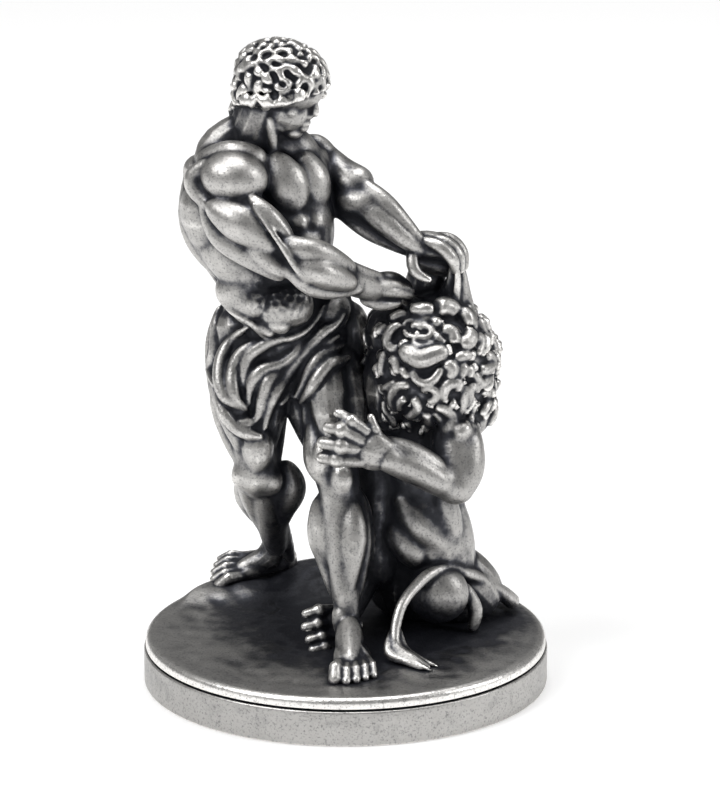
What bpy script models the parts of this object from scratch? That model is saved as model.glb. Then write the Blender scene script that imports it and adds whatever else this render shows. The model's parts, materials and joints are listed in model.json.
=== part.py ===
"""A small cast statue: a bare-chested strong man wrenches open the jaws of a lion that sits up against him.

The two figures and the ground under them are one casting, which rests on a turned plinth.
Lengths are in metres. The figures are shaped from overlapping lumps, as a modeller builds up clay:
bones first, then muscles, cloth and curls, and all of it is fused into one skin.
The poses are drawn in millimetres, with the origin on the ground between the feet,
and FIGURE_HEIGHT scales them when the clay is fused.
"""

import math
import random

import bmesh
import bpy
import numpy as np
from mathutils import Vector
from mathutils.bvhtree import BVHTree

MM = 0.001

# Plinth and ground
PLINTH_RADIUS = 25.0 * MM
PLINTH_HEIGHT = 4.4 * MM
PLINTH_EDGE = 0.25 * MM
SEAM_GAP = 0.3 * MM
GROUND_SETBACK = 0.2 * MM
GROUND_THICKNESS = 1.3 * MM
GROUND_EDGE = 0.8 * MM
MOUND_HEIGHT = 2.0 * MM
GROUND_TOP = PLINTH_HEIGHT + SEAM_GAP + GROUND_THICKNESS

# Figures: the man's height from the ground to his curls, and the same height as drawn below
FIGURE_HEIGHT = 75.2 * MM
DRAWN_HEIGHT = 75.2
FIGURE_SCALE = FIGURE_HEIGHT / DRAWN_HEIGHT
VOXEL = FIGURE_HEIGHT / 180
STATUE_FACES = 8300
TURNED_SIDES = 72

RIGHT, LEFT = 1, -1


def vec(*xyz):
    return Vector(xyz)


def mix(a, b, t):
    """The value or point a share t of the way from a to b."""
    return a * (1 - t) + b * t


def along(values, t):
    """Reads a list of values or points at the share t of its length, on a smooth curve through them."""
    if len(values) == 1:
        return values[0]
    place = t * (len(values) - 1)
    i = min(int(place), len(values) - 2)
    f = place - i
    before, a = values[max(i - 1, 0)], values[i]
    b, after = values[i + 1], values[min(i + 2, len(values) - 1)]
    if len(values) == 2:
        return mix(a, b, f)
    leave, arrive = (b - before) * 0.5, (after - a) * 0.5
    return (
        a * (2 * f**3 - 3 * f**2 + 1)
        + b * (3 * f**2 - 2 * f**3)
        + leave * (f**3 - 2 * f**2 + f)
        + arrive * (f**3 - f**2)
    )


def stock_ball(sides, rings):
    """A ball of radius 1 from Blender's own sphere: its points, their turn from pole to pole, and its faces."""
    bpy.ops.object.select_all(action="DESELECT")
    bpy.ops.mesh.primitive_uv_sphere_add(segments=sides, ring_count=rings, radius=1)
    ball = bpy.context.object
    points = np.array([v.co for v in ball.data.vertices])
    faces = [tuple(p.vertices) for p in ball.data.polygons]
    bpy.data.objects.remove(ball)
    return points, faces


class Clay:
    """Overlapping closed lumps, each one a ball that is stretched along a path."""

    def __init__(self):
        self.points, self.faces, self.count = [], [], 0
        self.balls = {}

    def ball_shape(self, sides, rings):
        if (sides, rings) not in self.balls:
            self.balls[sides, rings] = stock_ball(sides, rings)
        return self.balls[sides, rings]

    def add(self, points, faces):
        self.points.append(points)
        self.faces.extend(tuple(i + self.count for i in face) for face in faces)
        self.count += len(points)

    def lump(self, path, radii, flat=1.0, facing=(0, -1, 0), fullness=1.0, sides=12, rings=10):
        """A ball stretched along path. flat squeezes it along facing, and fullness 1 is a spindle
        while 0.4 is a sausage."""
        path = [Vector(p) for p in path]
        radii = list(radii) if hasattr(radii, "__len__") else [radii]
        facing = Vector(facing)
        shape, faces = self.ball_shape(sides, rings)
        turns = np.arccos(np.clip(shape[:, 2], -1, 1)) / math.pi
        keys = np.round(turns, 4)
        angles = np.arctan2(shape[:, 1], shape[:, 0])
        placed = np.empty_like(shape)
        for key in np.unique(keys):
            turn = float(key)
            round_place = (1 - math.cos(math.pi * turn)) / 2
            place = mix(turn, round_place, fullness)
            ahead = along(path, min(place + 0.02, 1)) - along(path, max(place - 0.02, 0))
            ahead.normalize()
            depth = facing - ahead * facing.dot(ahead)
            if depth.length < 1e-4:
                depth = ahead.orthogonal()
            depth.normalize()
            radius = along(radii, place) * max(math.sin(math.pi * turn), 0) ** fullness
            across = np.array(ahead.cross(depth) * radius)
            depth = np.array(depth * (radius * flat))
            ring = keys == key
            placed[ring] = (
                np.array(along(path, place))
                + np.cos(angles[ring])[:, None] * across
                + np.sin(angles[ring])[:, None] * depth
            )
        self.add(placed, faces)

    def bone(self, top, bottom, top_radius, bottom_radius, sides=14):
        """A tapered rod with round ends whose middles are at top and bottom."""
        top, bottom = Vector(top), Vector(bottom)
        ahead = (bottom - top).normalized()
        across = ahead.orthogonal().normalized()
        axes = np.array([across, ahead.cross(across), -ahead])
        shape, faces = self.ball_shape(sides, 12)
        upper = (shape[:, 2] > 0.001)[:, None]
        middle = np.where(upper, np.array(top), np.array(bottom))
        self.add(middle + shape @ axes * np.where(upper, top_radius, bottom_radius), faces)

    def ball(self, centre, radii, frame=None, sides=14, rings=10):
        """An ellipsoid. radii are along the frame's own three directions."""
        axes = frame.axes if frame else (vec(1, 0, 0), vec(0, 1, 0), vec(0, 0, 1))
        shape, faces = self.ball_shape(sides, rings)
        across = np.array([a * r for a, r in zip(axes, radii)])
        self.add(np.array(Vector(centre)) + shape @ across, faces)


    def surface(self):
        """The lumps so far, to draw on."""
        return BVHTree.FromPolygons(np.concatenate(self.points).tolist(), self.faces)


# The front view that the cloth and the curls are drawn in: where its eye is, and how it looks down
FRONT_AIM = vec(1.78, 0, 30.66)
FRONT_TILT = math.radians(16.6)
FRONT_BACK = vec(0, -math.cos(FRONT_TILT), math.sin(FRONT_TILT))
FRONT_UP = vec(0, math.sin(FRONT_TILT), math.cos(FRONT_TILT))
FRONT_EYE = FRONT_AIM + FRONT_BACK * 600


def drawn(body, line, lift):
    """A line that is drawn in the front view, laid on the body's surface and lifted off it."""
    laid = []
    for right, up in line:
        aim = FRONT_AIM + vec(right - FRONT_AIM.x, 0, 0) + FRONT_UP * (up - FRONT_AIM.z)
        ray = (aim - FRONT_EYE).normalized()
        hit, normal, _, _ = body.ray_cast(FRONT_EYE, ray)
        if hit is None:
            before = laid[-1] if laid else aim
            near = FRONT_EYE + ray * (before - FRONT_EYE).dot(ray)
            hit, normal, _, _ = body.find_nearest(near)
        laid.append(hit + normal * lift)
    return laid


class Frame:
    """A place on a body with its own right, front and up, named from the body's point of view."""

    def __init__(self, origin, front, up):
        self.origin = Vector(origin)
        up = Vector(up).normalized()
        front = Vector(front)
        front = (front - up * front.dot(up)).normalized()
        self.axes = (front.cross(up), front, up)

    def at(self, right=0.0, front=0.0, up=0.0):
        return self.origin + self.axes[0] * right + self.axes[1] * front + self.axes[2] * up

    def turned(self, right=0.0, front=0.0, up=0.0):
        """The direction that has these parts along the frame's own directions."""
        return self.axes[0] * right + self.axes[1] * front + self.axes[2] * up

    def blended(self, other, t):
        return Frame(
            mix(self.origin, other.origin, t),
            mix(self.axes[1], other.axes[1], t),
            mix(self.axes[2], other.axes[2], t),
        )


class Limb:
    """One stretch of an arm or leg, from its top joint to its bottom one."""

    def __init__(self, top, bottom, front, side):
        self.top, self.bottom = Vector(top), Vector(bottom)
        self.length = (self.bottom - self.top).length
        self.down = (self.bottom - self.top).normalized()
        front = Vector(front)
        self.front = (front - self.down * front.dot(self.down)).normalized()
        self.outer = self.down.cross(self.front) * side

    def at(self, t, outer=0.0, front=0.0):
        return self.top + self.down * (self.length * t) + self.outer * outer + self.front * front

    def towards(self, outer=0.0, front=0.0):
        return self.outer * outer + self.front * front


# The man's joints, in millimetres from the middle of the ground
MAN = {
    "pelvis": vec(-7.9, 4.0, 38.0),
    "waist": vec(-9.7, 3.8, 44.5),
    "chest": vec(-11.0, 3.2, 53.3),
    "neck": vec(-10.2, 2.4, 61.0),
    "head": vec(-7.4, 0.0, 69.0),
    "shoulder_right": vec(-13.7, -5.6, 59.4),
    "elbow_right": vec(-6.6, -9.4, 48.9),
    "wrist_right": vec(4.0, -2.4, 44.9),
    "shoulder_left": vec(-4.5, 8.6, 58.1),
    "elbow_left": vec(1.6, -0.6, 55.6),
    "wrist_left": vec(8.9, 0.0, 50.4),
    "hip_right": vec(-12.3, 3.3, 37.5),
    "hip_left": vec(-3.8, 4.4, 38.0),
    "knee_right": vec(-10.9, -1.0, 20.6),
    "ankle_right": vec(-9.0, 17.4, 6.4),
    "knee_left": vec(-0.7, -4.2, 19.8),
    "ankle_left": vec(0.3, -8.4, 3.2),
}
CHEST_FRONT = vec(0.78, -0.62, 0)
PELVIS_FRONT = vec(0.12, -1, 0)
HEAD_FRONT = vec(0.86, -0.33, -0.38)


def torso_frames():
    chest_up = (MAN["neck"] - MAN["waist"]).normalized()
    pelvis = Frame(MAN["pelvis"], PELVIS_FRONT, vec(0, 0, 1))
    chest = Frame(MAN["chest"], CHEST_FRONT, chest_up)
    return pelvis, chest


def torso(clay):
    pelvis, chest = torso_frames()
    waist = pelvis.blended(chest, 0.5)
    breast = Frame(MAN["chest"], CHEST_FRONT, vec(0.09, 0.10, 1))
    # Rib cage, belly and hips
    clay.ball(chest.at(0, 0.9, -0.2), (7.5, 7.2, 8.4), chest, sides=24, rings=16)
    clay.ball(chest.at(0, -0.8, 4.0), (7.8, 5.4, 4.4), chest)
    clay.ball(waist.at(0, 0.4, 0.6), (6.6, 5.6, 6.6), waist, sides=20, rings=14)
    clay.bone(MAN["waist"] + vec(0, 0, 3), MAN["pelvis"] + vec(0, 0, 1), 6.0, 6.4)
    clay.ball(pelvis.at(0, -0.3, 1.5), (7.6, 5.4, 4.6), pelvis)
    # Belly, which hangs a little over the belt
    clay.ball(pelvis.at(-0.2, 4.0, 4.2), (5.6, 3.4, 4.6), pelvis, sides=20, rings=14)
    for side in (RIGHT, LEFT):
        # Breast: a broad plate that leans back at the collar bone
        clay.lump(
            [
                breast.at(side * 1.9, 7.6, 0.4),
                breast.at(side * 3.4, 6.9, 3.6),
                breast.at(side * 6.2, 4.0, 6.4),
            ],
            [2.7, 4.5, 2.8],
            flat=0.5,
            facing=breast.turned(side * 0.3, 1, 0.35),
            fullness=0.5,
            sides=16,
            rings=14,
        )
        clay.lump(
            [
                chest.at(side * 0.6, 4.6, 7.0),
                chest.at(side * 4.4, 3.8, 7.3),
                chest.at(side * 8.2, 1.6, 7.4),
            ],
            [0.8, 0.7, 0.9],
            fullness=0.5,
        )
        # Broad back muscle from the armpit to the waist
        clay.lump(
            [
                chest.at(side * 6.6, -2.6, 5.0),
                chest.at(side * 7.3, -2.0, 0.6),
                chest.at(side * 5.2, -1.6, -8.0),
            ],
            [2.6, 3.3, 1.2],
            flat=0.8,
            facing=chest.turned(side, -0.4, 0),
            fullness=0.7,
            sides=16,
        )
        # Shoulder blade and the muscles round it
        clay.lump([chest.at(side * 2.2, -5.4, 0.6), chest.at(side * 7.2, -3.6, 4.6)], 2.3, fullness=0.8)
        clay.lump([chest.at(side * 2.4, -5.4, 4.2), chest.at(side * 7.8, -2.6, 6.6)], 2.1, fullness=0.8)
        # Long muscles beside the spine
        clay.lump(
            [
                pelvis.at(side * 1.8, -4.6, 1.5),
                chest.at(side * 1.8, -5.4, -7),
                chest.at(side * 1.7, -6.0, 2),
            ],
            [1.7, 1.6, 1.2],
            fullness=0.6,
        )
        # Trapezius from the neck to the shoulder
        clay.lump(
            [
                MAN["neck"] + vec(0.6, 0, 4.6),
                chest.at(side * 3.6, -2.0, 8.6),
                chest.at(side * 8.0, -1.4, 7.2),
            ],
            [2.0, 2.5, 1.4],
            fullness=0.6,
        )
        clay.lump([chest.at(side * 1.2, -5.0, 8.6), chest.at(side * 1.5, -6.2, 0.0)], 2.2, fullness=0.9)
        # Fingers of the muscle over the side ribs
        for i in range(4):
            clay.lump(
                [
                    chest.at(side * 6.3, 1.4 + 0.4 * i, -1.2 - 1.9 * i),
                    chest.at(side * 4.8, 5.0, -2.6 - 1.9 * i),
                ],
                1.1,
                fullness=0.8,
            )
        # Side of the waist, which rolls over the belt
        clay.lump(
            [chest.at(side * 5.4, 1.0, -5.0), pelvis.at(side * 5.6, 1.0, 5.8)], [2.8, 3.5], fullness=0.5
        )
        clay.lump(
            [
                pelvis.at(side * 7.2, -2.6, 5.4),
                pelvis.at(side * 6.2, 2.4, 4.4),
                pelvis.at(side * 2.8, 5.2, 2.4),
            ],
            [2.0, 2.4, 1.6],
            fullness=0.5,
            sides=14,
        )
        # Buttock
        clay.ball(pelvis.at(side * 3.7, -3.6, -1.6), (3.7, 3.5, 4.0), pelvis)
        # Belly muscle in its rows
        for share, out, drop, size in (
            (0.0, 7.3, -0.9, 1.5), (0.12, 7.2, -3.4, 1.5), (0.3, 6.4, -4.6, 1.6), (0.6, 5.6, 2.4, 1.9),
        ):
            here = breast.blended(pelvis, share)
            clay.ball(here.at(side * 1.75, out - 0.5, drop), (1.85, 1.3, size), here, sides=12, rings=10)


def neck_and_head(clay):
    _, chest = torso_frames()
    head = Frame(MAN["head"], HEAD_FRONT, vec(0.30, -0.10, 1))
    clay.bone(chest.at(0, -0.4, 7.2), head.at(0, -1.2, -2.4), 4.1, 3.5)
    for side in (RIGHT, LEFT):
        clay.lump(
            [chest.at(side * 1.0, 4.0, 7.0), head.at(side * 3.0, 0.0, -2.6)], [1.2, 1.6], fullness=0.5
        )
    # Skull, jaw and chin
    clay.ball(head.at(0, -0.3, 0.6), (4.0, 4.6, 4.1), head)
    clay.ball(head.at(0, 0.8, -2.2), (3.2, 3.3, 3.4), head)
    clay.ball(head.at(0, 2.9, -4.5), (1.5, 1.2, 1.1), head)
    # Brow, nose, lips, cheeks and ears
    clay.lump([head.at(2.7, 3.4, 0.2), head.at(0, 4.5, 0.3), head.at(-2.7, 3.4, 0.2)], 0.7, fullness=0.5)
    clay.lump([head.at(0, 4.3, 0.1), head.at(0, 5.3, -2.0)], [0.45, 0.7], fullness=0.5)
    clay.lump([head.at(0.9, 4.4, -2.1), head.at(-0.9, 4.4, -2.1)], 0.5, fullness=0.5)
    clay.lump(
        [head.at(1.1, 3.8, -3.1), head.at(0, 4.3, -3.0), head.at(-1.1, 3.8, -3.1)], 0.35, fullness=0.5
    )
    clay.lump(
        [head.at(0.9, 3.8, -3.7), head.at(0, 4.2, -3.75), head.at(-0.9, 3.8, -3.7)], 0.38, fullness=0.5
    )
    for side in (RIGHT, LEFT):
        clay.ball(head.at(side * 2.3, 2.8, -1.4), (1.1, 0.9, 0.9), head)
        clay.ball(head.at(side * 1.6, 3.6, -0.55), (0.75, 0.6, 0.5), head)
        clay.lump([head.at(side * 3.3, 0.2, -2.4), head.at(side * 2.4, 2.5, -4.0)], 1.0, fullness=0.6)
        clay.ball(head.at(side * 3.9, -0.3, -1.0), (0.5, 0.9, 1.4), head)
    return head


def hair_cap(clay, head):
    radii = (4.8, 5.6, 4.5)
    clay.ball(head.at(0, -0.5, 1.1), radii, head, sides=20, rings=14)
    clay.ball(head.at(0, -2.6, -1.0), (4.2, 3.3, 3.4), head)
    rng = random.Random(4)
    golden = math.pi * (3 - math.sqrt(5))
    count = 150
    for i in range(count):
        up = 1 - (i + 0.5) / count * 1.62
        ring = math.sqrt(max(0.0, 1 - up * up))
        angle = i * golden
        direction = vec(ring * math.cos(angle), ring * math.sin(angle), up)
        if direction.y > 0.35 and direction.z < 0.02 - 0.2 * direction.y:
            continue
        if direction.z < -0.1 and direction.y > -0.25:
            continue
        centre = head.at(direction.x * radii[0], direction.y * radii[1] - 0.5, direction.z * radii[2] + 1.1)
        out = head.turned(direction.x, direction.y, direction.z).normalized()
        start = rng.uniform(0, 2 * math.pi)
        side = out.orthogonal().normalized()
        other = out.cross(side)
        reach = rng.uniform(0.7, 1.0)
        path = [
            centre + side * (reach * math.cos(start + a)) + other * (reach * math.sin(start + a))
            for a in (0, 1.3, 2.6)
        ]
        clay.lump(path, 0.42, fullness=0.5, sides=6, rings=6)


def arm(clay, side, deltoid_out, size):
    name = "right" if side == RIGHT else "left"
    shoulder, elbow, wrist = MAN["shoulder_" + name], MAN["elbow_" + name], MAN["wrist_" + name]
    upper = Limb(shoulder, elbow, wrist - elbow, side)
    lower = Limb(elbow, wrist, shoulder - elbow, side)

    def muscle(points, radii, fullness=0.8, sides=14):
        clay.lump(points, [r * size for r in radii], fullness=fullness, sides=sides, rings=12)

    clay.bone(shoulder, elbow, 2.7 * size, 2.0 * size)
    # Deltoid in three heads
    clay.ball(shoulder + deltoid_out * 0.4 * size, (3.3 * size, 3.2 * size, 3.2 * size), sides=18, rings=12)
    muscle([shoulder + vec(0.9, 0.2, 1.1), upper.at(0.56, 0.6, 1.1)], [2.6, 0.9], 0.7)
    muscle([shoulder + deltoid_out * 1.0 + vec(-0.2, 0, 0.9), upper.at(0.52, 1.9, 0.0)], [2.6, 0.9], 0.7)
    back = deltoid_out.cross(vec(0, 0, side)).normalized()
    muscle(
        [
            shoulder + back * 1.6 + vec(0, 0, 1.6),
            shoulder + back * 2.9 + deltoid_out * 0.6,
            upper.at(0.4, 1.2, -2.0),
        ],
        [1.8, 2.1, 1.1],
        0.6,
    )
    # Biceps, the two heads of the triceps, and the muscle between them
    muscle([upper.at(0.18, 0.0, 1.3), upper.at(0.6, 0.0, 1.9), upper.at(1.02, 0.2, 1.0)], [1.5, 2.3, 1.0])
    muscle(
        [upper.at(0.05, 1.0, -1.6), upper.at(0.48, 1.1, -2.1), upper.at(0.98, 0.6, -1.3)],
        [1.6, 2.2, 1.0],
        0.7,
    )
    muscle(
        [upper.at(0.05, -0.8, -1.8), upper.at(0.55, -0.8, -2.4), upper.at(1.0, -0.2, -1.4)],
        [1.6, 2.1, 1.0],
        0.7,
    )
    muscle([upper.at(0.45, 1.7, 0.0), upper.at(0.98, 1.3, 0.5)], [1.1, 1.2])
    # Forearm
    clay.bone(elbow, wrist, 2.0 * size, 1.4)
    muscle([upper.at(0.72, 1.4, 0.6), lower.at(0.22, 1.5, 1.0), lower.at(0.8, 0.7, 0.5)], [1.0, 1.8, 0.7])
    muscle([lower.at(0.0, -0.9, 0.2), lower.at(0.3, -1.2, 0.4), lower.at(0.85, -0.5, 0.2)], [1.2, 1.8, 0.8])
    muscle(
        [lower.at(-0.05, 0.3, -0.9), lower.at(0.3, 0.4, -1.3), lower.at(0.85, 0.2, -0.5)], [1.1, 1.5, 0.8]
    )
    clay.ball(lower.at(-0.02, 0, -1.0), (1.2, 1.2, 1.2))


def right_hand(clay):
    """Fingers hooked over the lower jaw."""
    wrist = MAN["wrist_right"]
    clay.lump(
        [wrist, wrist + vec(2.2, 0.3, 0.0), wrist + vec(3.8, 0.9, -0.4)], [1.35, 1.75, 1.4], fullness=0.45
    )
    for i in range(4):
        knuckle = wrist + vec(3.2 - 0.1 * i, -0.3 + 0.95 * i, 0.3 - 0.15 * i)
        middle = wrist + vec(4.6 - 0.15 * i, 0.1 + 0.9 * i, 0.0 - 0.1 * i)
        clay.bone(wrist + vec(1.2, 0.2 + 0.5 * i, 0.4), knuckle, 0.5, 0.62, sides=10)
        clay.bone(knuckle, middle, 0.62, 0.6, sides=10)
        clay.bone(middle, middle + vec(0.5, 0.5, -1.5), 0.6, 0.5, sides=10)
    clay.bone(wrist + vec(0.8, -0.8, -0.4), wrist + vec(2.9, -1.2, -0.9), 0.9, 0.7, sides=10)
    clay.bone(wrist + vec(2.9, -1.2, -0.9), wrist + vec(4.4, -0.9, -1.4), 0.68, 0.5, sides=10)


def left_hand(clay):
    """Fingers hooked over the nose of the upper jaw, with the thumb inside the mouth."""
    wrist = MAN["wrist_left"]
    clay.lump(
        [wrist, wrist + vec(2.4, 0.0, 0.1), wrist + vec(4.2, 0.2, -0.9)], [1.4, 1.9, 1.6], fullness=0.45
    )
    for i in range(4):
        knuckle = wrist + vec(3.3 + 0.75 * i, -1.7 + 0.95 * i, -0.1 - 0.25 * i)
        middle = wrist + vec(4.5 + 0.5 * i, -1.8 + 0.85 * i, -1.7 - 0.2 * i)
        clay.bone(wrist + vec(1.4, -0.6 + 0.4 * i, 0.7), knuckle, 0.5, 0.68, sides=10)
        clay.bone(knuckle, middle, 0.68, 0.62, sides=10)
        clay.bone(middle, middle + vec(0.3, 0.2, -1.6), 0.62, 0.58, sides=10)
        clay.bone(middle + vec(0.3, 0.2, -1.6), middle + vec(-0.2, 0.5, -2.7), 0.56, 0.46, sides=10)
    joints = ((0.6, -0.6, -0.4), (-0.1, -1.2, -2.6), (1.0, -1.3, -4.2), (2.1, -1.2, -5.2))
    thumb = [wrist + vec(*p) for p in joints]
    for a, b, radius in zip(thumb, thumb[1:], (1.05, 0.85, 0.7)):
        clay.bone(a, b, radius, radius * 0.85, sides=10)


def leg(clay, side, hip, knee, ankle, knee_front):
    upper = Limb(hip, knee, knee_front, side)
    lower = Limb(knee, ankle, knee_front, side)

    def muscle(limb, points, radii, fullness=0.75):
        clay.lump([limb.at(*p) for p in points], radii, fullness=fullness, sides=14, rings=12)

    clay.bone(hip, knee, 4.0, 2.5)
    # Front of the thigh, its inner and outer heads, and the long strap muscle over them
    muscle(upper, [(0.0, 0.8, 1.4), (0.45, 0.4, 2.7), (0.9, 0.1, 1.6)], [2.3, 2.6, 1.0])
    muscle(upper, [(0.05, 2.7, 0.0), (0.5, 2.7, 0.8), (0.95, 1.6, 0.9)], [2.3, 2.5, 1.1])
    muscle(upper, [(0.45, -1.3, 1.4), (0.8, -1.8, 1.4), (0.99, -1.3, 1.3)], [1.2, 2.0, 1.1])
    muscle(upper, [(0.0, 1.0, 2.6), (0.45, -2.2, 1.9), (1.04, -2.2, -0.4)], [0.8, 0.9, 0.7], 0.4)
    # Inside and back of the thigh
    muscle(upper, [(-0.05, -2.6, -0.6), (0.4, -2.8, -0.3), (0.85, -1.9, -0.6)], [2.4, 2.7, 1.2])
    muscle(upper, [(0.0, 1.3, -2.3), (0.5, 1.5, -2.5), (1.05, 1.7, -1.6)], [2.4, 2.2, 0.8])
    muscle(upper, [(0.0, -1.2, -2.3), (0.5, -1.3, -2.4), (1.05, -1.5, -1.6)], [2.4, 2.1, 0.8])
    # Knee
    clay.ball(knee + upper.front * 1.75, (1.6, 1.3, 1.7))
    clay.lump([knee + lower.towards(1.9, 0.2), knee + lower.towards(-1.9, 0.2)], 2.0, fullness=0.6)
    muscle(lower, [(0.02, 0.1, 2.0), (0.15, 0.1, 1.8)], [0.8, 0.75], 0.5)
    muscle(lower, [(0.0, -1.3, 1.4), (0.1, -1.0, 1.5)], [0.8, 0.6], 0.5)
    # Shin, the muscles beside it, and the calf
    clay.bone(lower.at(0.05), ankle, 2.5, 1.45)
    muscle(lower, [(0.1, -0.5, 1.7), (0.5, -0.6, 1.4), (0.95, -0.4, 0.7)], [0.8, 0.7, 0.7], 0.5)
    muscle(lower, [(0.03, 1.4, 0.9), (0.35, 1.3, 1.3), (0.82, 0.2, 1.0)], [1.1, 1.7, 0.7])
    muscle(lower, [(0.02, 2.3, -0.1), (0.4, 2.3, -0.1), (0.85, 1.2, -0.3)], [1.0, 1.2, 0.7])
    muscle(lower, [(-0.03, -1.3, -1.2), (0.27, -2.1, -1.3), (0.6, -0.8, -1.2)], [1.2, 2.5, 0.9])
    muscle(lower, [(-0.03, 1.3, -1.2), (0.24, 2.0, -1.4), (0.54, 0.8, -1.4)], [1.2, 2.3, 0.9])
    muscle(lower, [(0.25, 0.0, -1.2), (0.55, 0.0, -1.2), (0.88, 0.0, -1.4)], [2.2, 1.9, 0.8], 0.6)
    muscle(lower, [(0.6, 0.0, -1.6), (1.0, 0.0, -1.7)], [0.8, 0.7], 0.4)
    # Ankle bones
    clay.ball(lower.at(0.98, 1.25, 0.0), (0.65, 0.65, 0.7))
    clay.ball(lower.at(0.94, -1.25, 0.1), (0.7, 0.7, 0.75))


def foot(clay, side, heel, toe_tip, ankle, roll=0.0):
    """A bare foot from the back of its heel to its middle toe. roll lifts its outer edge, in degrees."""
    heel, toe_tip = Vector(heel), Vector(toe_tip)
    reach = toe_tip - heel
    length = reach.length
    level = vec(0, 0, 1).cross(reach).normalized() * side
    lift = math.radians(roll)
    inner = level * math.cos(lift) - vec(0, 0, 1) * math.sin(lift)
    up = vec(0, 0, 1) * math.cos(lift) + level * math.sin(lift)

    def at(share, across, height):
        return heel + reach * share + inner * across + up * height

    clay.ball(at(0.12, 0, 1.5), (1.6, 1.6, 1.7))
    clay.lump([ankle + up * 1.6, at(0.34, 0.3, 2.6), at(0.70, 0.4, 1.2)], [1.5, 1.75, 1.3], fullness=0.4)
    clay.lump([at(0.05, -0.4, 1.0), at(0.4, -1.2, 0.9), at(0.68, -1.7, 0.8)], [1.4, 1.2, 1.0], fullness=0.5)
    clay.lump([at(0.05, 0.3, 1.2), at(0.4, 0.9, 1.7), at(0.70, 1.6, 1.1)], [1.4, 1.2, 1.1], fullness=0.5)
    clay.lump([at(0.66, -1.8, 0.7), at(0.70, 1.9, 0.9)], [0.9, 1.2], fullness=0.5)
    toes = (
        (2.05, 1.0, 0.92), (0.72, 1.0, 0.62), (-0.42, 0.96, 0.6), (-1.48, 0.9, 0.56), (-2.45, 0.83, 0.52),
    )
    for i, (across, end, radius) in enumerate(toes):
        root = at(0.66 - 0.03 * i, across * 0.8, 1.3)
        bend = at(end - 1.9 / length, across * 1.02, radius + 0.85)
        tip = at(end - radius / length, across * 1.05, radius * 0.75)
        clay.bone(root, bend, radius * 0.75, radius * 0.85, sides=10)
        clay.bone(bend, tip, radius * 0.85, radius * 0.9, sides=10)
        # Tendon over the instep
        clay.lump(
            [at(0.42, across * 0.35 + 0.2, 3.0), root, bend], [0.35, 0.45, 0.5], fullness=0.4, sides=8
        )


# The front of the cloth, as drawn from the front in millimetres: right of the axis and above the ground
FRONT_FOLDS = (
    (
        (-11.9, 38.9), (-13.7, 37.5), (-14.8, 35.6), (-15.3, 33.4), (-15.1, 31.4), (-14.2, 29.8),
        (-11.9, 28.6),
    ),
    (
        (-10.1, 37.4), (-11.9, 36.4), (-13.1, 35.0), (-13.8, 33.4), (-13.9, 31.7), (-13.4, 30.0),
        (-12.0, 28.8),
    ),
    ((-5.3, 38.1), (-7.3, 37.5), (-9.2, 37.0), (-10.9, 36.1), (-11.9, 35.0), (-12.4, 33.4), (-12.6, 31.3)),
    ((-5.1, 37.5), (-6.4, 35.6), (-7.8, 34.5), (-10.1, 33.6), (-11.2, 32.5), (-11.7, 30.9), (-12.0, 29.0)),
    ((-4.8, 37.3), (-6.2, 35.7), (-8.1, 33.8), (-9.5, 32.2), (-10.0, 30.3), (-10.6, 28.3), (-11.3, 26.9)),
    (
        (-0.1, 40.6), (-1.2, 39.2), (-2.8, 38.1), (-4.5, 36.4), (-6.2, 34.5), (-7.6, 32.5),
        (-8.7, 30.6), (-9.5, 28.2), (-10.0, 26.0),
    ),
    ((-0.7, 37.9), (-2.1, 37.1), (-3.9, 35.9), (-5.1, 34.5), (-6.2, 32.8), (-7.0, 30.9), (-8.1, 29.2)),
    ((0.1, 37.1), (-1.4, 36.2), (-3.0, 35.2), (-3.9, 33.8), (-4.8, 32.0), (-6.3, 29.9)),
    ((0.6, 35.1), (-0.6, 34.7), (-2.0, 34.3), (-3.2, 32.8), (-4.2, 31.1), (-5.6, 29.4)),
    ((-15.9, 31.1), (-14.8, 28.4), (-13.4, 26.7), (-11.7, 25.7), (-10.1, 25.3)),
    ((-13.8, 27.2), (-12.5, 27.0), (-11.1, 27.3)),
    ((-15.1, 41.4), (-15.9, 39.5), (-16.2, 37.5), (-16.2, 35.6), (-16.3, 33.4), (-15.9, 31.5)),
)
BELT_EDGE = (
    (-15.8, 42.3), (-14.2, 41.0), (-11.4, 39.2), (-9.5, 37.6), (-7.3, 37.4), (-5.3, 38.1),
    (-3.7, 39.6), (-2.3, 41.7),
)


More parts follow.
